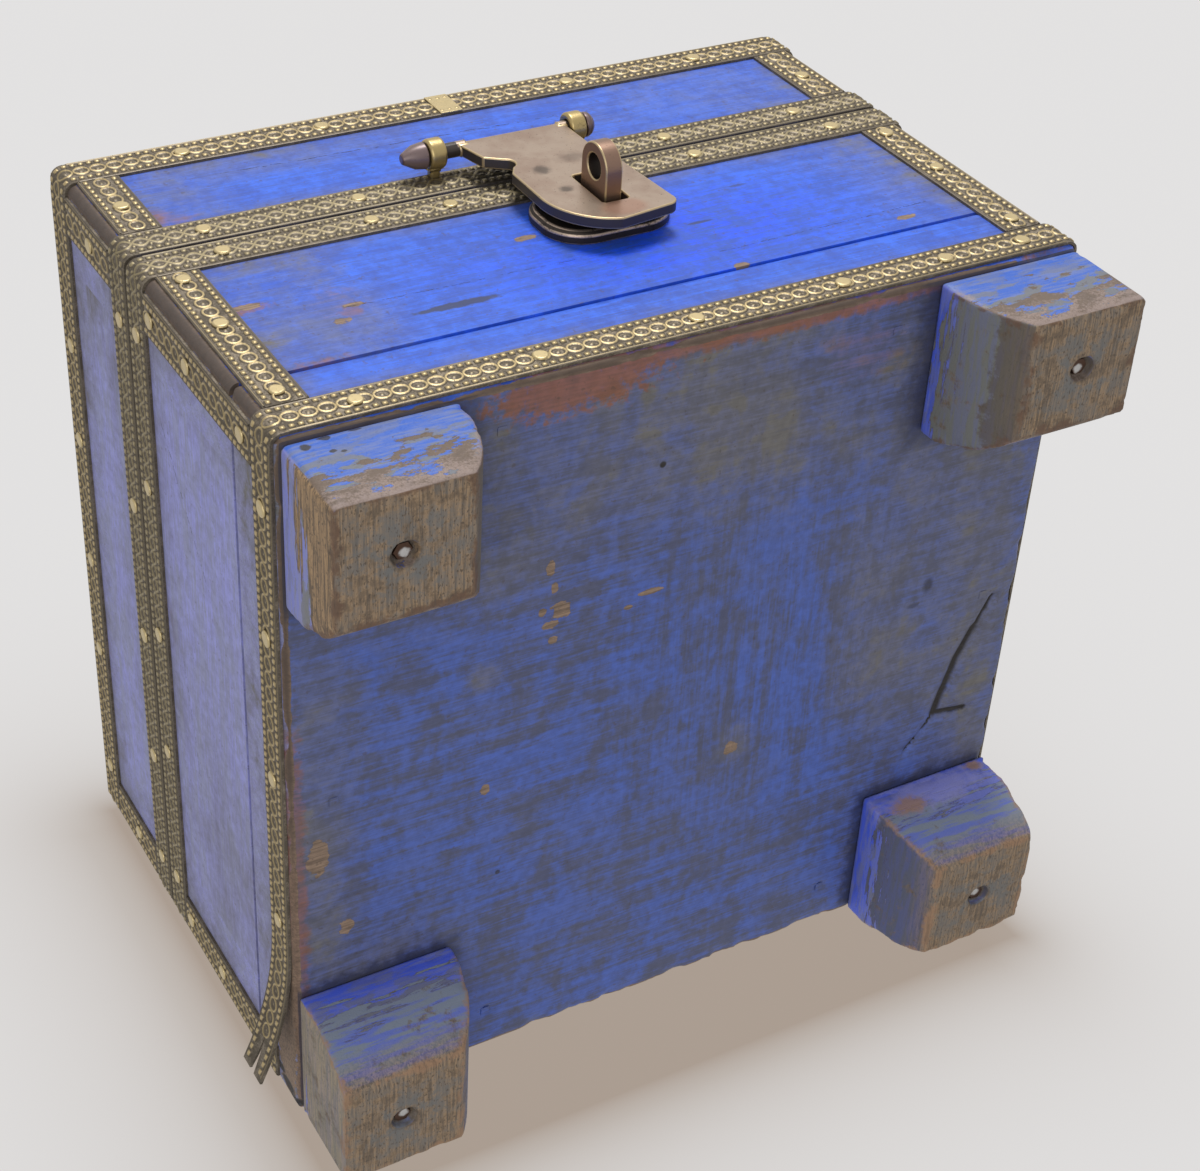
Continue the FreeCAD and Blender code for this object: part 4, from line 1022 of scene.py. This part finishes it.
def make_strip_tree(name):
    """Lays copies of one repeat of the pattern along a path, raised from the strip's face."""
    tree, given = new_group(name, {"shape": ("Path",), "object": ("Repeat",), "vector": ("Across",),
                                   "value": ("Pitch", "Step", "Height"), "material": ("Finish",)},
                            {"shape": ("Pattern",)}, "GeometryNodeTree")
    curve = wired(tree, "GeometryNodeMeshToCurve", {"Mesh": given["Path"]}, "Curve")
    path = wired(tree, "GeometryNodeResampleCurve", {"Curve": curve, "Length": given["Step"]}, mode="LENGTH")
    # Whole repeats, drawn out a little to fill the run.
    run = wired(tree, "GeometryNodeCurveLength", {0: curve})
    count = maths("FLOOR", run / given["Pitch"])
    pitch = run / count
    step = wired(tree, "ShaderNodeCombineXYZ", {"X": pitch})
    row = wired(tree, "GeometryNodeMeshLine",
                {"Count": count, "Start Location": scaled(step, 0.5), "Offset": step}, "Mesh", mode="OFFSET")
    repeat = wired(tree, "GeometryNodeObjectInfo", {"Object": given["Repeat"]}, "Geometry")
    fitted = wired(tree, "ShaderNodeCombineXYZ", {"X": pitch / given["Pitch"], "Y": 1.0, "Z": 1.0})
    copies = wired(tree, "GeometryNodeInstanceOnPoints", {"Points": row, "Instance": repeat, "Scale": fitted})
    flat = wired(tree, "GeometryNodeRealizeInstances", {0: copies})
    along, across, up = split(wired(tree, "GeometryNodeInputPosition")).values()
    kept = wired(tree, "GeometryNodeStoreNamedAttribute",
                 {"Geometry": flat, "Name": "relief", "Value": up / given["Height"]}, data_type="FLOAT",
                 domain="POINT")
    # The flat row is bent along the path.
    bend = wires(add(tree, "GeometryNodeSampleCurve", {"Curves": path, "Length": along}, mode="LENGTH",
                     use_all_curves=True))
    out = vectors("NORMALIZE", vectors("CROSS_PRODUCT", bend["Tangent"], given["Across"]))
    place = vectors("ADD", bend["Position"], scaled(given["Across"], across))
    place = vectors("ADD", place, scaled(out, up))
    bent = wired(tree, "GeometryNodeSetPosition", {"Geometry": kept, "Position": place})
    return give_shape(tree, "Pattern", bent, given["Finish"])


def strand(shape, points, width, height, sink, closed):
    """A raised strand with a rounded top along flat points."""
    rows = []
    for index, (x, y) in enumerate(points):
        last = len(points) - 1
        ahead = points[(index + 1) % len(points)] if closed or index < last else points[index]
        behind = points[index - 1] if closed or index > 0 else points[index]
        turn = Vector((ahead[0] - behind[0], ahead[1] - behind[1])).normalized()
        side = Vector((-turn.y, turn.x)) * width / 2
        rows.append([shape.verts.new((x + side.x, y + side.y, -sink)), shape.verts.new((x, y, height)),
                     shape.verts.new((x - side.x, y - side.y, -sink))])
    pairs = list(zip(rows, rows[1:]))
    if closed:
        pairs.append((rows[-1], rows[0]))
    for first, second in pairs:
        for lower in range(2):
            shape.faces.new((first[lower], first[lower + 1], second[lower + 1], second[lower]))


def raised_block(shape, x, y, length, width, height, sink, top_share=0.62):
    """A small block with sloping sides."""
    rings = []
    for share, level in ((1.0, -sink), (top_share, height)):
        rings.append([shape.verts.new((x + sx * length / 2 * share, y + sy * width / 2 * share, level))
                      for sx, sy in ((-1, -1), (1, -1), (1, 1), (-1, 1))])
    for index in range(4):
        after = (index + 1) % 4
        shape.faces.new((rings[0][index], rings[0][after], rings[1][after], rings[1][index]))
    shape.faces.new(rings[1])


def pattern_repeat(kind, width):
    """One repeat of the strip's pattern: rings, crossing strands or the bead rows alone."""
    strips = bpy.context.scene.box_strips
    pitch = strips.pitch
    sink = strips.sink
    shape = bmesh.new()
    half = (strips.ring - strips.strand) / 2
    if kind == "rings":
        turns = [2 * math.pi * index / 12 for index in range(12)]
        reach = pitch / 2 - strips.strand * 0.16
        strand(shape, [(reach * math.cos(turn), half * math.sin(turn)) for turn in turns], strips.strand,
               strips.height, sink, True)
        raised_block(shape, 0, 0, strips.strand * 1.1, strips.strand * 1.1, strips.height * 0.45, sink, 0.4)
    if kind == "strands":
        for sign in (-1, 1):
            steps = [-0.5 + index / 8 for index in range(9)]
            strand(shape, [(pitch * step, sign * half * math.cos(math.pi * step)) for step in steps],
                   strips.strand * 1.15, strips.height, sink, False)
            raised_block(shape, pitch / 2, sign * half * 0.9, strips.strand, strips.strand,
                         strips.height * 0.8, sink, 0.4)
        raised_block(shape, 0, 0, strips.strand * 1.3, strips.strand * 1.0, strips.height * 0.5, sink, 0.4)
    row = width / 2 - strips.bead_inset
    for side in (-1, 1):
        for place in (-0.25, 0.25):
            raised_block(shape, pitch * place, side * row, pitch * 0.36, strips.bead, strips.height, sink)
        edge = side * (width / 2 - strips.rim / 2)
        tall = strips.outer_rim if side > 0 else strips.inner_rim
        strand(shape, [(-pitch / 2, edge), (pitch / 2, edge)], strips.rim, tall, sink, False)
    bmesh.ops.recalc_face_normals(shape, faces=shape.faces)
    for face in shape.faces:
        if face.normal.z < 0:
            face.normal_flip()
        face.smooth = True
    return as_mesh(kind, shape)


# The loose end of the bottom strip on the left side: where it leaves the box, the middle of its curl, and the
# turns at its tip and at its split.
LOOSE_START = 38.94 * MM
LOOSE_CENTRE = -181.56 * MM
LOOSE_TIP = math.radians(23.6)
LOOSE_SPLIT = math.radians(18.2)


def loose_points(first, last, level):
    """Points along the outer face of the loose end between two turns from its root."""
    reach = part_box("body_top_belt")[0].x - LOOSE_CENTRE
    turns = [first + (last - first) * index / 12 for index in range(13)]
    return [(LOOSE_CENTRE + reach * math.cos(turn), LOOSE_START + reach * math.sin(turn), level)
            for turn in turns]


def middle_height(node):
    low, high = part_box(node)
    return (low.z + high.z) / 2


# Bend of the belts round the front corners, and the plain ends of the belts and the upright strips.
BELT_BEND = 2.6 * MM
BELT_END = 1.0 * MM
UPRIGHT_END = 0.2 * MM


def belt_path(name, turned):
    """Points on the outer face of a belt from the left back end round the front to the right back end."""
    left, front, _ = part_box("body_top_belt")[0]
    right = -left
    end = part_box("body_top_belt")[1].y - BELT_END
    level = middle_height(name)
    if name == "body_bottom_belt":
        points = loose_points(LOOSE_SPLIT, 0.0, level)
    else:
        points = [(left, end, level)]
    for centre, first in ((left + BELT_BEND, math.pi), (right - BELT_BEND, 1.5 * math.pi)):
        for index in range(7):
            turn = first + index / 6 * math.pi / 2
            points.append((centre + BELT_BEND * math.cos(turn),
                           front + BELT_BEND + BELT_BEND * math.sin(turn), level))
    points.append((right, end, level))
    return points[::-1] if turned else points


def upright_path(name, across, outward):
    """The two ends of the middle line of an upright strip's outer face."""
    low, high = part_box(name)
    middle = (low + high) / 2
    size = high - low
    face = middle + Vector((outward.x * size.x, outward.y * size.y, 0)) / 2
    along = across.cross(outward)
    reach = along * (size.z / 2 - UPRIGHT_END)
    return [tuple(face - reach), tuple(face + reach)]


def strip_runs(body):
    """Each run of pattern on a body: its path, the way to its rim, and its kind."""
    up = Vector((0, 0, 1))
    runs = []
    if body == "body":
        runs.append((belt_path("body_bottom_belt", True), -up, "rings"))
        runs.append((belt_path("body_top_belt", False), up, "strands"))
        tongues = loose_points(LOOSE_TIP, LOOSE_SPLIT, middle_height("body_bottom_belt"))
        runs.append((tongues[::-1], -up, "beads"))
    else:
        runs.append((belt_path("lid_bottom_belt", True), -up, "strands"))
        runs.append((belt_path("lid_top_belt", False), up, "rings"))
    for corner in CORNERS:
        face, side = corner.split("_")
        across = OUTWARD[side]
        runs.append((upright_path(f"{body}_strip_{corner}", across, OUTWARD[face]), across, "rings"))
    return runs


# Smallest and largest nail head beside the usual one.
NAIL_SMALL = (0.93, 0.93, 0.85)
NAIL_LARGE = (1.05, 1.05, 1.0)


def make_nail_tree(name):
    """Sets a nail head on each point, along its axis, with a random turn and size."""
    tree, given = new_group(name, {"shape": ("Places",), "object": ("Head",), "whole": ("Seed",),
                                   "material": ("Finish",)}, {"shape": ("Nails",)}, "GeometryNodeTree")
    axis = wired(tree, "GeometryNodeInputNamedAttribute", {"Name": "axis"}, data_type="FLOAT_VECTOR")
    aim = wired(tree, "FunctionNodeAlignRotationToVector", {"Vector": axis}, axis="Z")
    turn = wired(tree, "FunctionNodeRandomValue", {3: 2 * math.pi, "Seed": given["Seed"]}, 1,
                 data_type="FLOAT")
    spin = wired(tree, "FunctionNodeAxisAngleToRotation", {"Axis": (0, 0, 1), "Angle": turn})
    turned = wired(tree, "FunctionNodeRotateRotation", {0: aim, 1: spin}, rotation_space="LOCAL")
    size = wired(tree, "FunctionNodeRandomValue", {0: NAIL_SMALL, 1: NAIL_LARGE, "Seed": given["Seed"]},
                 data_type="FLOAT_VECTOR")
    head = wired(tree, "GeometryNodeObjectInfo", {"Object": given["Head"]}, "Geometry")
    points = wired(tree, "GeometryNodeMeshToPoints", {0: given["Places"]})
    nails = wired(tree, "GeometryNodeInstanceOnPoints",
                  {"Points": points, "Instance": head, "Rotation": turned, "Scale": size})
    return give_shape(tree, "Nails", nails, given["Finish"])


def nail_head(radius, height, sides=14):
    """A flat irregular head with a worn edge and a closed back."""
    shape = bmesh.new()
    rings = []
    for share, level in ((0.97, 0.0), (1.0, 0.5), (0.92, 0.86), (0.76, 1.0)):
        ring = []
        for index in range(sides):
            turn = 2 * math.pi * index / sides
            uneven = 1 - 0.06 * (0.5 + 0.5 * math.sin(3 * turn + 0.7))
            uneven -= 0.03 * (0.5 + 0.5 * math.sin(5 * turn))
            reach = radius * share * uneven
            ring.append(shape.verts.new((reach * math.cos(turn), reach * math.sin(turn), height * level)))
        rings.append(ring)
    for low, high in zip(rings, rings[1:]):
        for index in range(sides):
            after = (index + 1) % sides
            shape.faces.new((low[index], low[after], high[after], high[index]))
    shape.faces.new(rings[0][::-1])
    shape.faces.new(rings[-1])
    for face in shape.faces:
        face.smooth = len(face.verts) == 4
    return as_mesh("nail_head", shape)


def middle_of(points):
    return [sum(point[axis] for point in points) / len(points) for axis in range(3)]


def islands(node):
    """The separate solids of a CAD node, each as a list of points."""
    shape = merged_shape(node)
    left = set(shape.verts)
    groups = []
    while left:
        waiting = [left.pop()]
        group = []
        while waiting:
            vert = waiting.pop()
            group.append(vert.co.copy())
            for edge in vert.link_edges:
                other = edge.other_vert(vert)
                if other in left:
                    left.remove(other)
                    waiting.append(other)
        groups.append(group)
    shape.free()
    return sorted(groups, key=lambda group: tuple(round(part, 5) for part in middle_of(group)))


def nail_places(node):
    """Each nail head of a node: the middle of its underside, its axis, its radius and its height."""
    centre = (BOX_LOW + BOX_HIGH) / 2
    places = []
    for group in islands(node):
        low = Vector([min(point[axis] for point in group) for axis in range(3)])
        high = Vector([max(point[axis] for point in group) for axis in range(3)])
        middle = (low + high) / 2
        outer = {axis: abs(middle[axis] - centre[axis]) - (BOX_HIGH - BOX_LOW)[axis] / 2 for axis in (0, 1)}
        axis = max(outer, key=outer.get)
        sign = 1 if middle[axis] > centre[axis] else -1
        tip = high[axis] if sign > 0 else low[axis]
        heads = [point for point in group if abs(point[axis] - tip) < 1.0 * MM]
        spread = max(point[2] for point in heads) - min(point[2] for point in heads)
        base = max(abs(point[axis] - tip) for point in heads)
        place = Vector(middle_of(heads))
        place[axis] = tip - sign * base
        way = Vector()
        way[axis] = sign
        places.append((place, way, spread / 2, base))
    return places


def set_nails(node, body, material):
    """Sets a head of its own on each nail of a node."""
    name = node.replace("nails", "nail_heads")
    places = nail_places(node)
    host_mesh = bpy.data.meshes.new(name)
    host_mesh.from_pydata([tuple(place[0]) for place in places], [], [])
    axis = host_mesh.attributes.new("axis", "FLOAT_VECTOR", "POINT")
    for index, place in enumerate(places):
        axis.data[index].vector = place[1]
    head = new_host("nail_head", nail_head(places[0][2], places[0][3]))
    mesh = node_mesh(new_host(name, host_mesh), shared("nail heads", make_nail_tree),
                     {"Head": head, "Seed": bpy.context.scene.box_strips.seed, "Finish": material})
    bpy.data.objects.remove(head)
    new_piece(name, mesh, body, "plain_brass", node)


# Operators

class BOX_OT_painted_boards(bpy.types.Operator):
    """Paint and wear on the boards of the body and the lid"""
    bl_idname = "brass_box.painted_boards"
    bl_label = "Painted Boards"

    def execute(self, context):
        paint = context.scene.box_paint
        front = painted_wood("front_paint", BRUSH_X, FRONT_SOIL, FRONT_MARKS)
        cover(("front_board", "back_board", "lid_front_rail", "lid_back_rail", "lid_top_board", "lid_brads"),
              front)
        side = painted_wood("side_paint", BRUSH_Y, SIDE_SOIL, SIDE_MARKS)
        cover(("left_side_board", "right_side_board", "lid_left_rail", "lid_right_rail"), side)
        under = painted_wood("underside_paint", BRUSH_UNDER, UNDER_SOIL, UNDER_MARKS, UNDER_CROSS, True)
        cover(("carcass_brads",), under)
        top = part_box("body_bottom_belt")[0].z
        board = worn_wood("bottom_board", paint.board_voxel, paint.board_rounds, paint.board_chip, top,
                          UNDER_MARKS["cracks"])
        board.materials.append(under)
        new_piece("bottom_board_worn", board, "body", "dull_painted_wood", "bottom_board")
        return {"FINISHED"}


class BOX_OT_worn_feet(bpy.types.Operator):
    """Four block feet with rounded, chipped edges"""
    bl_idname = "brass_box.worn_feet"
    bl_label = "Worn Feet"

    def execute(self, context):
        feet = context.scene.box_feet
        material = foot_wood()
        for name in FEET:
            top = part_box(name)[1].z - feet.kept
            foot = worn_wood(name, feet.voxel, feet.rounds, feet.chip, top)
            foot.materials.append(material)
            new_piece(name + "_worn", foot, "body", "worn_foot_wood", name)
        return {"FINISHED"}


class BOX_OT_embossed_strips(bpy.types.Operator):
    """Embossed brass strips: dark ground and a raised pattern along each strip"""
    bl_idname = "brass_box.embossed_strips"
    bl_label = "Embossed Strips"

    def execute(self, context):
        strips = context.scene.box_strips
        ground = aged_metal("strip_ground", [part * 1.9 for part in strips.ground], strips.ground, 0.55, 0.5)
        gold = aged_metal("strip_pattern", strips.gold, strips.ground, 0.30, 0.38, raised=True)
        dull = aged_metal("seam_pattern", strips.dull_gold, strips.ground, 0.36, 0.42, raised=True)
        tree = shared("strip pattern", make_strip_tree)
        for body in ("body", "lid"):
            belts = [f"{body}_top_belt", f"{body}_bottom_belt"]
            cover([f"{body}_strip_{corner}" for corner in CORNERS] + belts, ground)
            low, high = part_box(f"{body}_top_belt")
            repeats = {kind: new_host(kind, pattern_repeat(kind, high.z - low.z))
                       for kind in ("rings", "strands", "beads")}
            meshes = []
            for points, across, kind in strip_runs(body):
                path = bpy.data.meshes.new("path")
                path.from_pydata(points, [(index, index + 1) for index in range(len(points) - 1)], [])
                meshes.append(node_mesh(new_host("path", path), tree,
                                        {"Repeat": repeats[kind], "Pitch": strips.pitch, "Step": strips.step,
                                         "Height": strips.height, "Across": tuple(across),
                                         "Finish": dull if kind == "strands" else gold}))
            for host in repeats.values():
                bpy.data.objects.remove(host)
            name = f"{body}_strip_pattern"
            new_piece(name, joined(name, meshes), body, "embossed_brass")
        return {"FINISHED"}


class BOX_OT_strip_nails(bpy.types.Operator):
    """Hammered brass nail heads of the strips, and the plain clip on the lid's top strip"""
    bl_idname = "brass_box.strip_nails"
    bl_label = "Strip Nails"

    def execute(self, context):
        strips = context.scene.box_strips
        metal = context.scene.box_metal
        brass = aged_metal("nail_brass", strips.nail, metal.brass_dark, 0.22, 0.34, 0.5)
        set_nails("body_strip_nails", "body", brass)
        set_nails("lid_strip_nails", "lid", brass)
        worn_metal("lid_belt_clip", "lid", "plain_brass", metal.clip_edge, [brass], 2)
        return {"FINISHED"}


class BOX_OT_hasp(bpy.types.Operator):
    """Bronze hasp, its eyes, and the pierced staple on its base"""
    bl_idname = "brass_box.hasp"
    bl_label = "Hasp and Staple"

    def execute(self, context):
        metal = context.scene.box_metal
        bronze = hasp_bronze("hasp_bronze")
        golden = hasp_bronze("hasp_edge", True)
        worn = aged_metal("worn_edge", metal.bronze_edge, metal.bronze_brown, 0.40, 0.32)
        dark = aged_metal("staple_bronze", metal.bronze_brown, metal.base_dark, 0.30, 0.34,
                          shaded_hollow=STAPLE_HOLE_SHADE)
        under = aged_metal("base_bronze", metal.bronze_dark, metal.base_dark, 0.40, 0.40)
        rim = aged_metal("base_edge", metal.bronze, metal.bronze_dark, 0.45, 0.34)
        brass = aged_metal("eye_brass", metal.eye_brass, metal.brass_dark, 0.38, 0.30)
        worn_metal("hasp_plate", "hasp", "bronze", metal.edge, [bronze, golden])
        worn_metal("staple", "body", "bronze", metal.edge, [dark, worn])
        worn_metal("staple_base", "body", "bronze", metal.edge, [under, rim])
        for name in ("hasp_eye_left", "hasp_eye_right"):
            worn_metal(name, "lid", "plain_brass", metal.eye_edge, [brass], 4)
        set_nails("staple_nails", "body", brass)
        return {"FINISHED"}


class BOX_OT_hinges(bpy.types.Operator):
    """Plain brass hinges with rounded leaves, pins and nails"""
    bl_idname = "brass_box.hinges"
    bl_label = "Hinges"

    def execute(self, context):
        metal = context.scene.box_metal
        brass = aged_metal("hinge_brass", metal.brass, metal.brass_dark, 0.42, 0.36)
        worn = aged_metal("hinge_edge", metal.bronze_edge, metal.brass, 0.35, 0.32)
        for side in ("left", "right"):
            for body in ("body", "lid"):
                worn_metal(f"{side}_hinge_{body}_leaf", body, "plain_brass", metal.leaf_edge,
                           [brass, worn], 2)
        cover(("left_hinge_pin", "right_hinge_pin"), brass)
        for body in ("body", "lid"):
            set_nails(f"{body}_hinge_nails", body, brass)
        return {"FINISHED"}


class BOX_OT_sole_nails(bpy.types.Operator):
    """Iron nails in the soles"""
    bl_idname = "brass_box.sole_nails"
    bl_label = "Sole Nails"

    def execute(self, context):
        metal = context.scene.box_metal
        bright = [part * 2.4 for part in metal.iron]
        # The nails are rust-dark but for a painted glint.
        cover(("foot_nails",), aged_metal("sole_nail", bright, metal.rust, 0.2, 0.35, glint=NAIL_GLINT))
        return {"FINISHED"}


WHITE = (1.0, 1.0, 1.0)
# The soft lights: place and width, and the point both are aimed at, in metres.
FRONT_LIGHT = ((0.20, -1.20, 0.50), 0.4)
LOW_LIGHT = ((-0.75, -0.55, -0.82), 0.9)
LIGHT_AIM = (0.0, 0.0, 0.07)
# Shades round the box on its back: shift across and up, reach in millimetres, and strength.
SHADES = ((0.0, 0.0, 8.0, 0.48), (-10.0, -6.0, 36.0, 0.30))


def pale_world(stage):
    """Even light, and a pale background for whatever looks straight at it."""
    world = bpy.data.worlds.new("pale_room")
    bpy.context.scene.world = world
    world.use_nodes = True
    tree = world.node_tree
    tree.nodes.clear()
    ray = wires(add(tree, "ShaderNodeLightPath"))
    seen = largest(ray["Is Camera Ray"], largest(ray["Is Glossy Ray"], ray["Is Transmission Ray"]))
    light = wired(tree, "ShaderNodeBackground", {"Color": WHITE, "Strength": stage.sky})
    back = wired(tree, "ShaderNodeBackground", {"Color": stage.pale, "Strength": 1.0})
    mix = wired(tree, "ShaderNodeMixShader", {0: seen, 1: light, 2: back})
    add(tree, "ShaderNodeOutputWorld", {"Surface": mix})


def soft_light(name, place, size, power):
    lamp = bpy.data.lights.new(name, "AREA")
    lamp.shape = "DISK"
    lamp.size = size
    lamp.energy = power
    holder = new_host(name, lamp)
    holder.location = place
    holder.rotation_euler = (Vector(LIGHT_AIM) - Vector(place)).to_track_quat("-Z", "Y").to_euler()


def sheet_material(name):
    """Makes an empty material; gives back it and the place on the sheet in millimetres."""
    material = bpy.data.materials.new(name)
    material.use_nodes = True
    tree = material.node_tree
    tree.nodes.clear()
    return material, split(scaled(wired(tree, "ShaderNodeTexCoord", out="Object"), 1.0 / MM))


def floor_sheet(name, corners, material, shown, gone):
    """Lays a floor that only the camera sees; it is clear from behind and where it is gone."""
    tree = material.node_tree
    clear = wired(tree, "ShaderNodeBsdfTransparent", {"Color": WHITE})
    back = wired(tree, "ShaderNodeNewGeometry", out="Backfacing")
    mix = wired(tree, "ShaderNodeMixShader", {0: largest(back, gone), 1: shown, 2: clear})
    add(tree, "ShaderNodeOutputMaterial", {"Surface": mix})
    mesh = bpy.data.meshes.new(name)
    mesh.from_pydata(corners, [], [(0, 1, 2, 3)])
    mesh.materials.append(material)
    sheet = new_host(name, mesh)
    sheet.visible_diffuse = False
    sheet.visible_glossy = False
    sheet.visible_transmission = False
    sheet.visible_shadow = False


def square(far):
    """The corners of a square that goes this far from its middle, in metres."""
    return ((-far, -far), (far, -far), (far, far), (-far, far))


def back_floor(stage):
    """The floor under a box laid on its back: clear, with a soft warm shade round the box."""
    material, place = sheet_material("back_floor")
    tree = material.node_tree
    half = BOX_HIGH.z / MM / 2
    shades = []
    for shift_x, shift_z, reach, strength in SHADES:
        out_x = maths("ABSOLUTE", place["X"] - shift_x) - BOX_HIGH.x / MM
        out_z = maths("ABSOLUTE", place["Z"] - (shift_z + half)) - half
        out = wired(tree, "ShaderNodeCombineXYZ", {"X": largest(out_x, 0.0), "Y": largest(out_z, 0.0)})
        shades.append(1.0 - maths("EXPONENT", span(out) / -reach) * strength)
    tint = blend(shades[0] * shades[1], stage.shade, WHITE)
    shaded = wired(tree, "ShaderNodeBsdfTransparent", {"Color": tint})
    grazing = between(wired(tree, "ShaderNodeLayerWeight", {"Blend": 0.5}, "Facing"), 0.60, 0.80)
    level = CAD_BOX[1][1] + 0.4 * MM
    floor_sheet("back_floor", [(x, level, z) for x, z in square(0.6)], material, shaded, grazing)


def stand_floor(stage):
    """The floor under the standing box, seen from above only, fading into the background."""
    material, place = sheet_material("stand_floor")
    tree = material.node_tree
    matt = wired(tree, "ShaderNodeBsdfDiffuse", {"Color": stage.ground})
    away = span(wired(tree, "ShaderNodeCombineXYZ", {"X": place["X"], "Y": place["Y"]}))
    level = CAD_BOX[0][2] - 0.2 * MM
    floor_sheet("stand_floor", [(x, y, level) for x, y in square(0.8)], material, matt,
                between(away, 180.0, 700.0))


class BOX_OT_stage(bpy.types.Operator):
    """Pale room, soft lights, floor and camera"""
    bl_idname = "brass_box.stage"
    bl_label = "Stage"

    def execute(self, context):
        stage = context.scene.box_stage
        context.scene.view_settings.view_transform = "Standard"
        pale_world(stage)
        soft_light("front_light", *FRONT_LIGHT, stage.key)
        soft_light("low_light", *LOW_LIGHT, stage.fill)
        back_floor(stage)
        stand_floor(stage)
        camera = bpy.data.cameras.new("camera")
        camera.sensor_width = 36.0
        camera.lens = stage.lens
        camera.clip_start = 0.01
        holder = new_host("camera", camera)
        place = Vector(stage.place)
        look = (Vector(stage.aim) - place).to_track_quat("-Z", "Y")
        holder.location = place
        holder.rotation_mode = "QUATERNION"
        holder.rotation_quaternion = look @ Quaternion((0, 0, 1), stage.roll)
        context.scene.camera = holder
        return {"FINISHED"}


OPERATORS = (BOX_OT_stage, BOX_OT_painted_boards, BOX_OT_worn_feet, BOX_OT_embossed_strips,
             BOX_OT_strip_nails, BOX_OT_hasp, BOX_OT_hinges, BOX_OT_sole_nails)


class BOX_PT_pieces(bpy.types.Panel):
    """Lists the pieces of the box"""
    bl_idname = "BOX_PT_pieces"
    bl_label = "Brass-Bound Box"
    bl_space_type = "VIEW_3D"
    bl_region_type = "UI"
    bl_category = "Box"

    def draw(self, context):
        for operator in OPERATORS:
            self.layout.operator(operator.bl_idname)
        for label in SETTINGS:
            settings = getattr(context.scene, label)
            for key in settings.__annotations__:
                self.layout.prop(settings, key)


CLASSES = tuple(SETTINGS.values()) + OPERATORS + (BOX_PT_pieces,)


def register():
    for kind in CLASSES:
        bpy.utils.register_class(kind)
    for label, kind in SETTINGS.items():
        setattr(bpy.types.Scene, label, PointerProperty(type=kind))


def unregister():
    for label in SETTINGS:
        delattr(bpy.types.Scene, label)
    for kind in reversed(CLASSES):
        bpy.utils.unregister_class(kind)


def main():
    register()
    bpy.ops.brass_box.stage()
    bpy.ops.brass_box.painted_boards()
    bpy.ops.brass_box.worn_feet()
    bpy.ops.brass_box.embossed_strips()
    bpy.ops.brass_box.strip_nails()
    bpy.ops.brass_box.hasp()
    bpy.ops.brass_box.hinges()
    bpy.ops.brass_box.sole_nails()


if __name__ == "__main__":
    main()
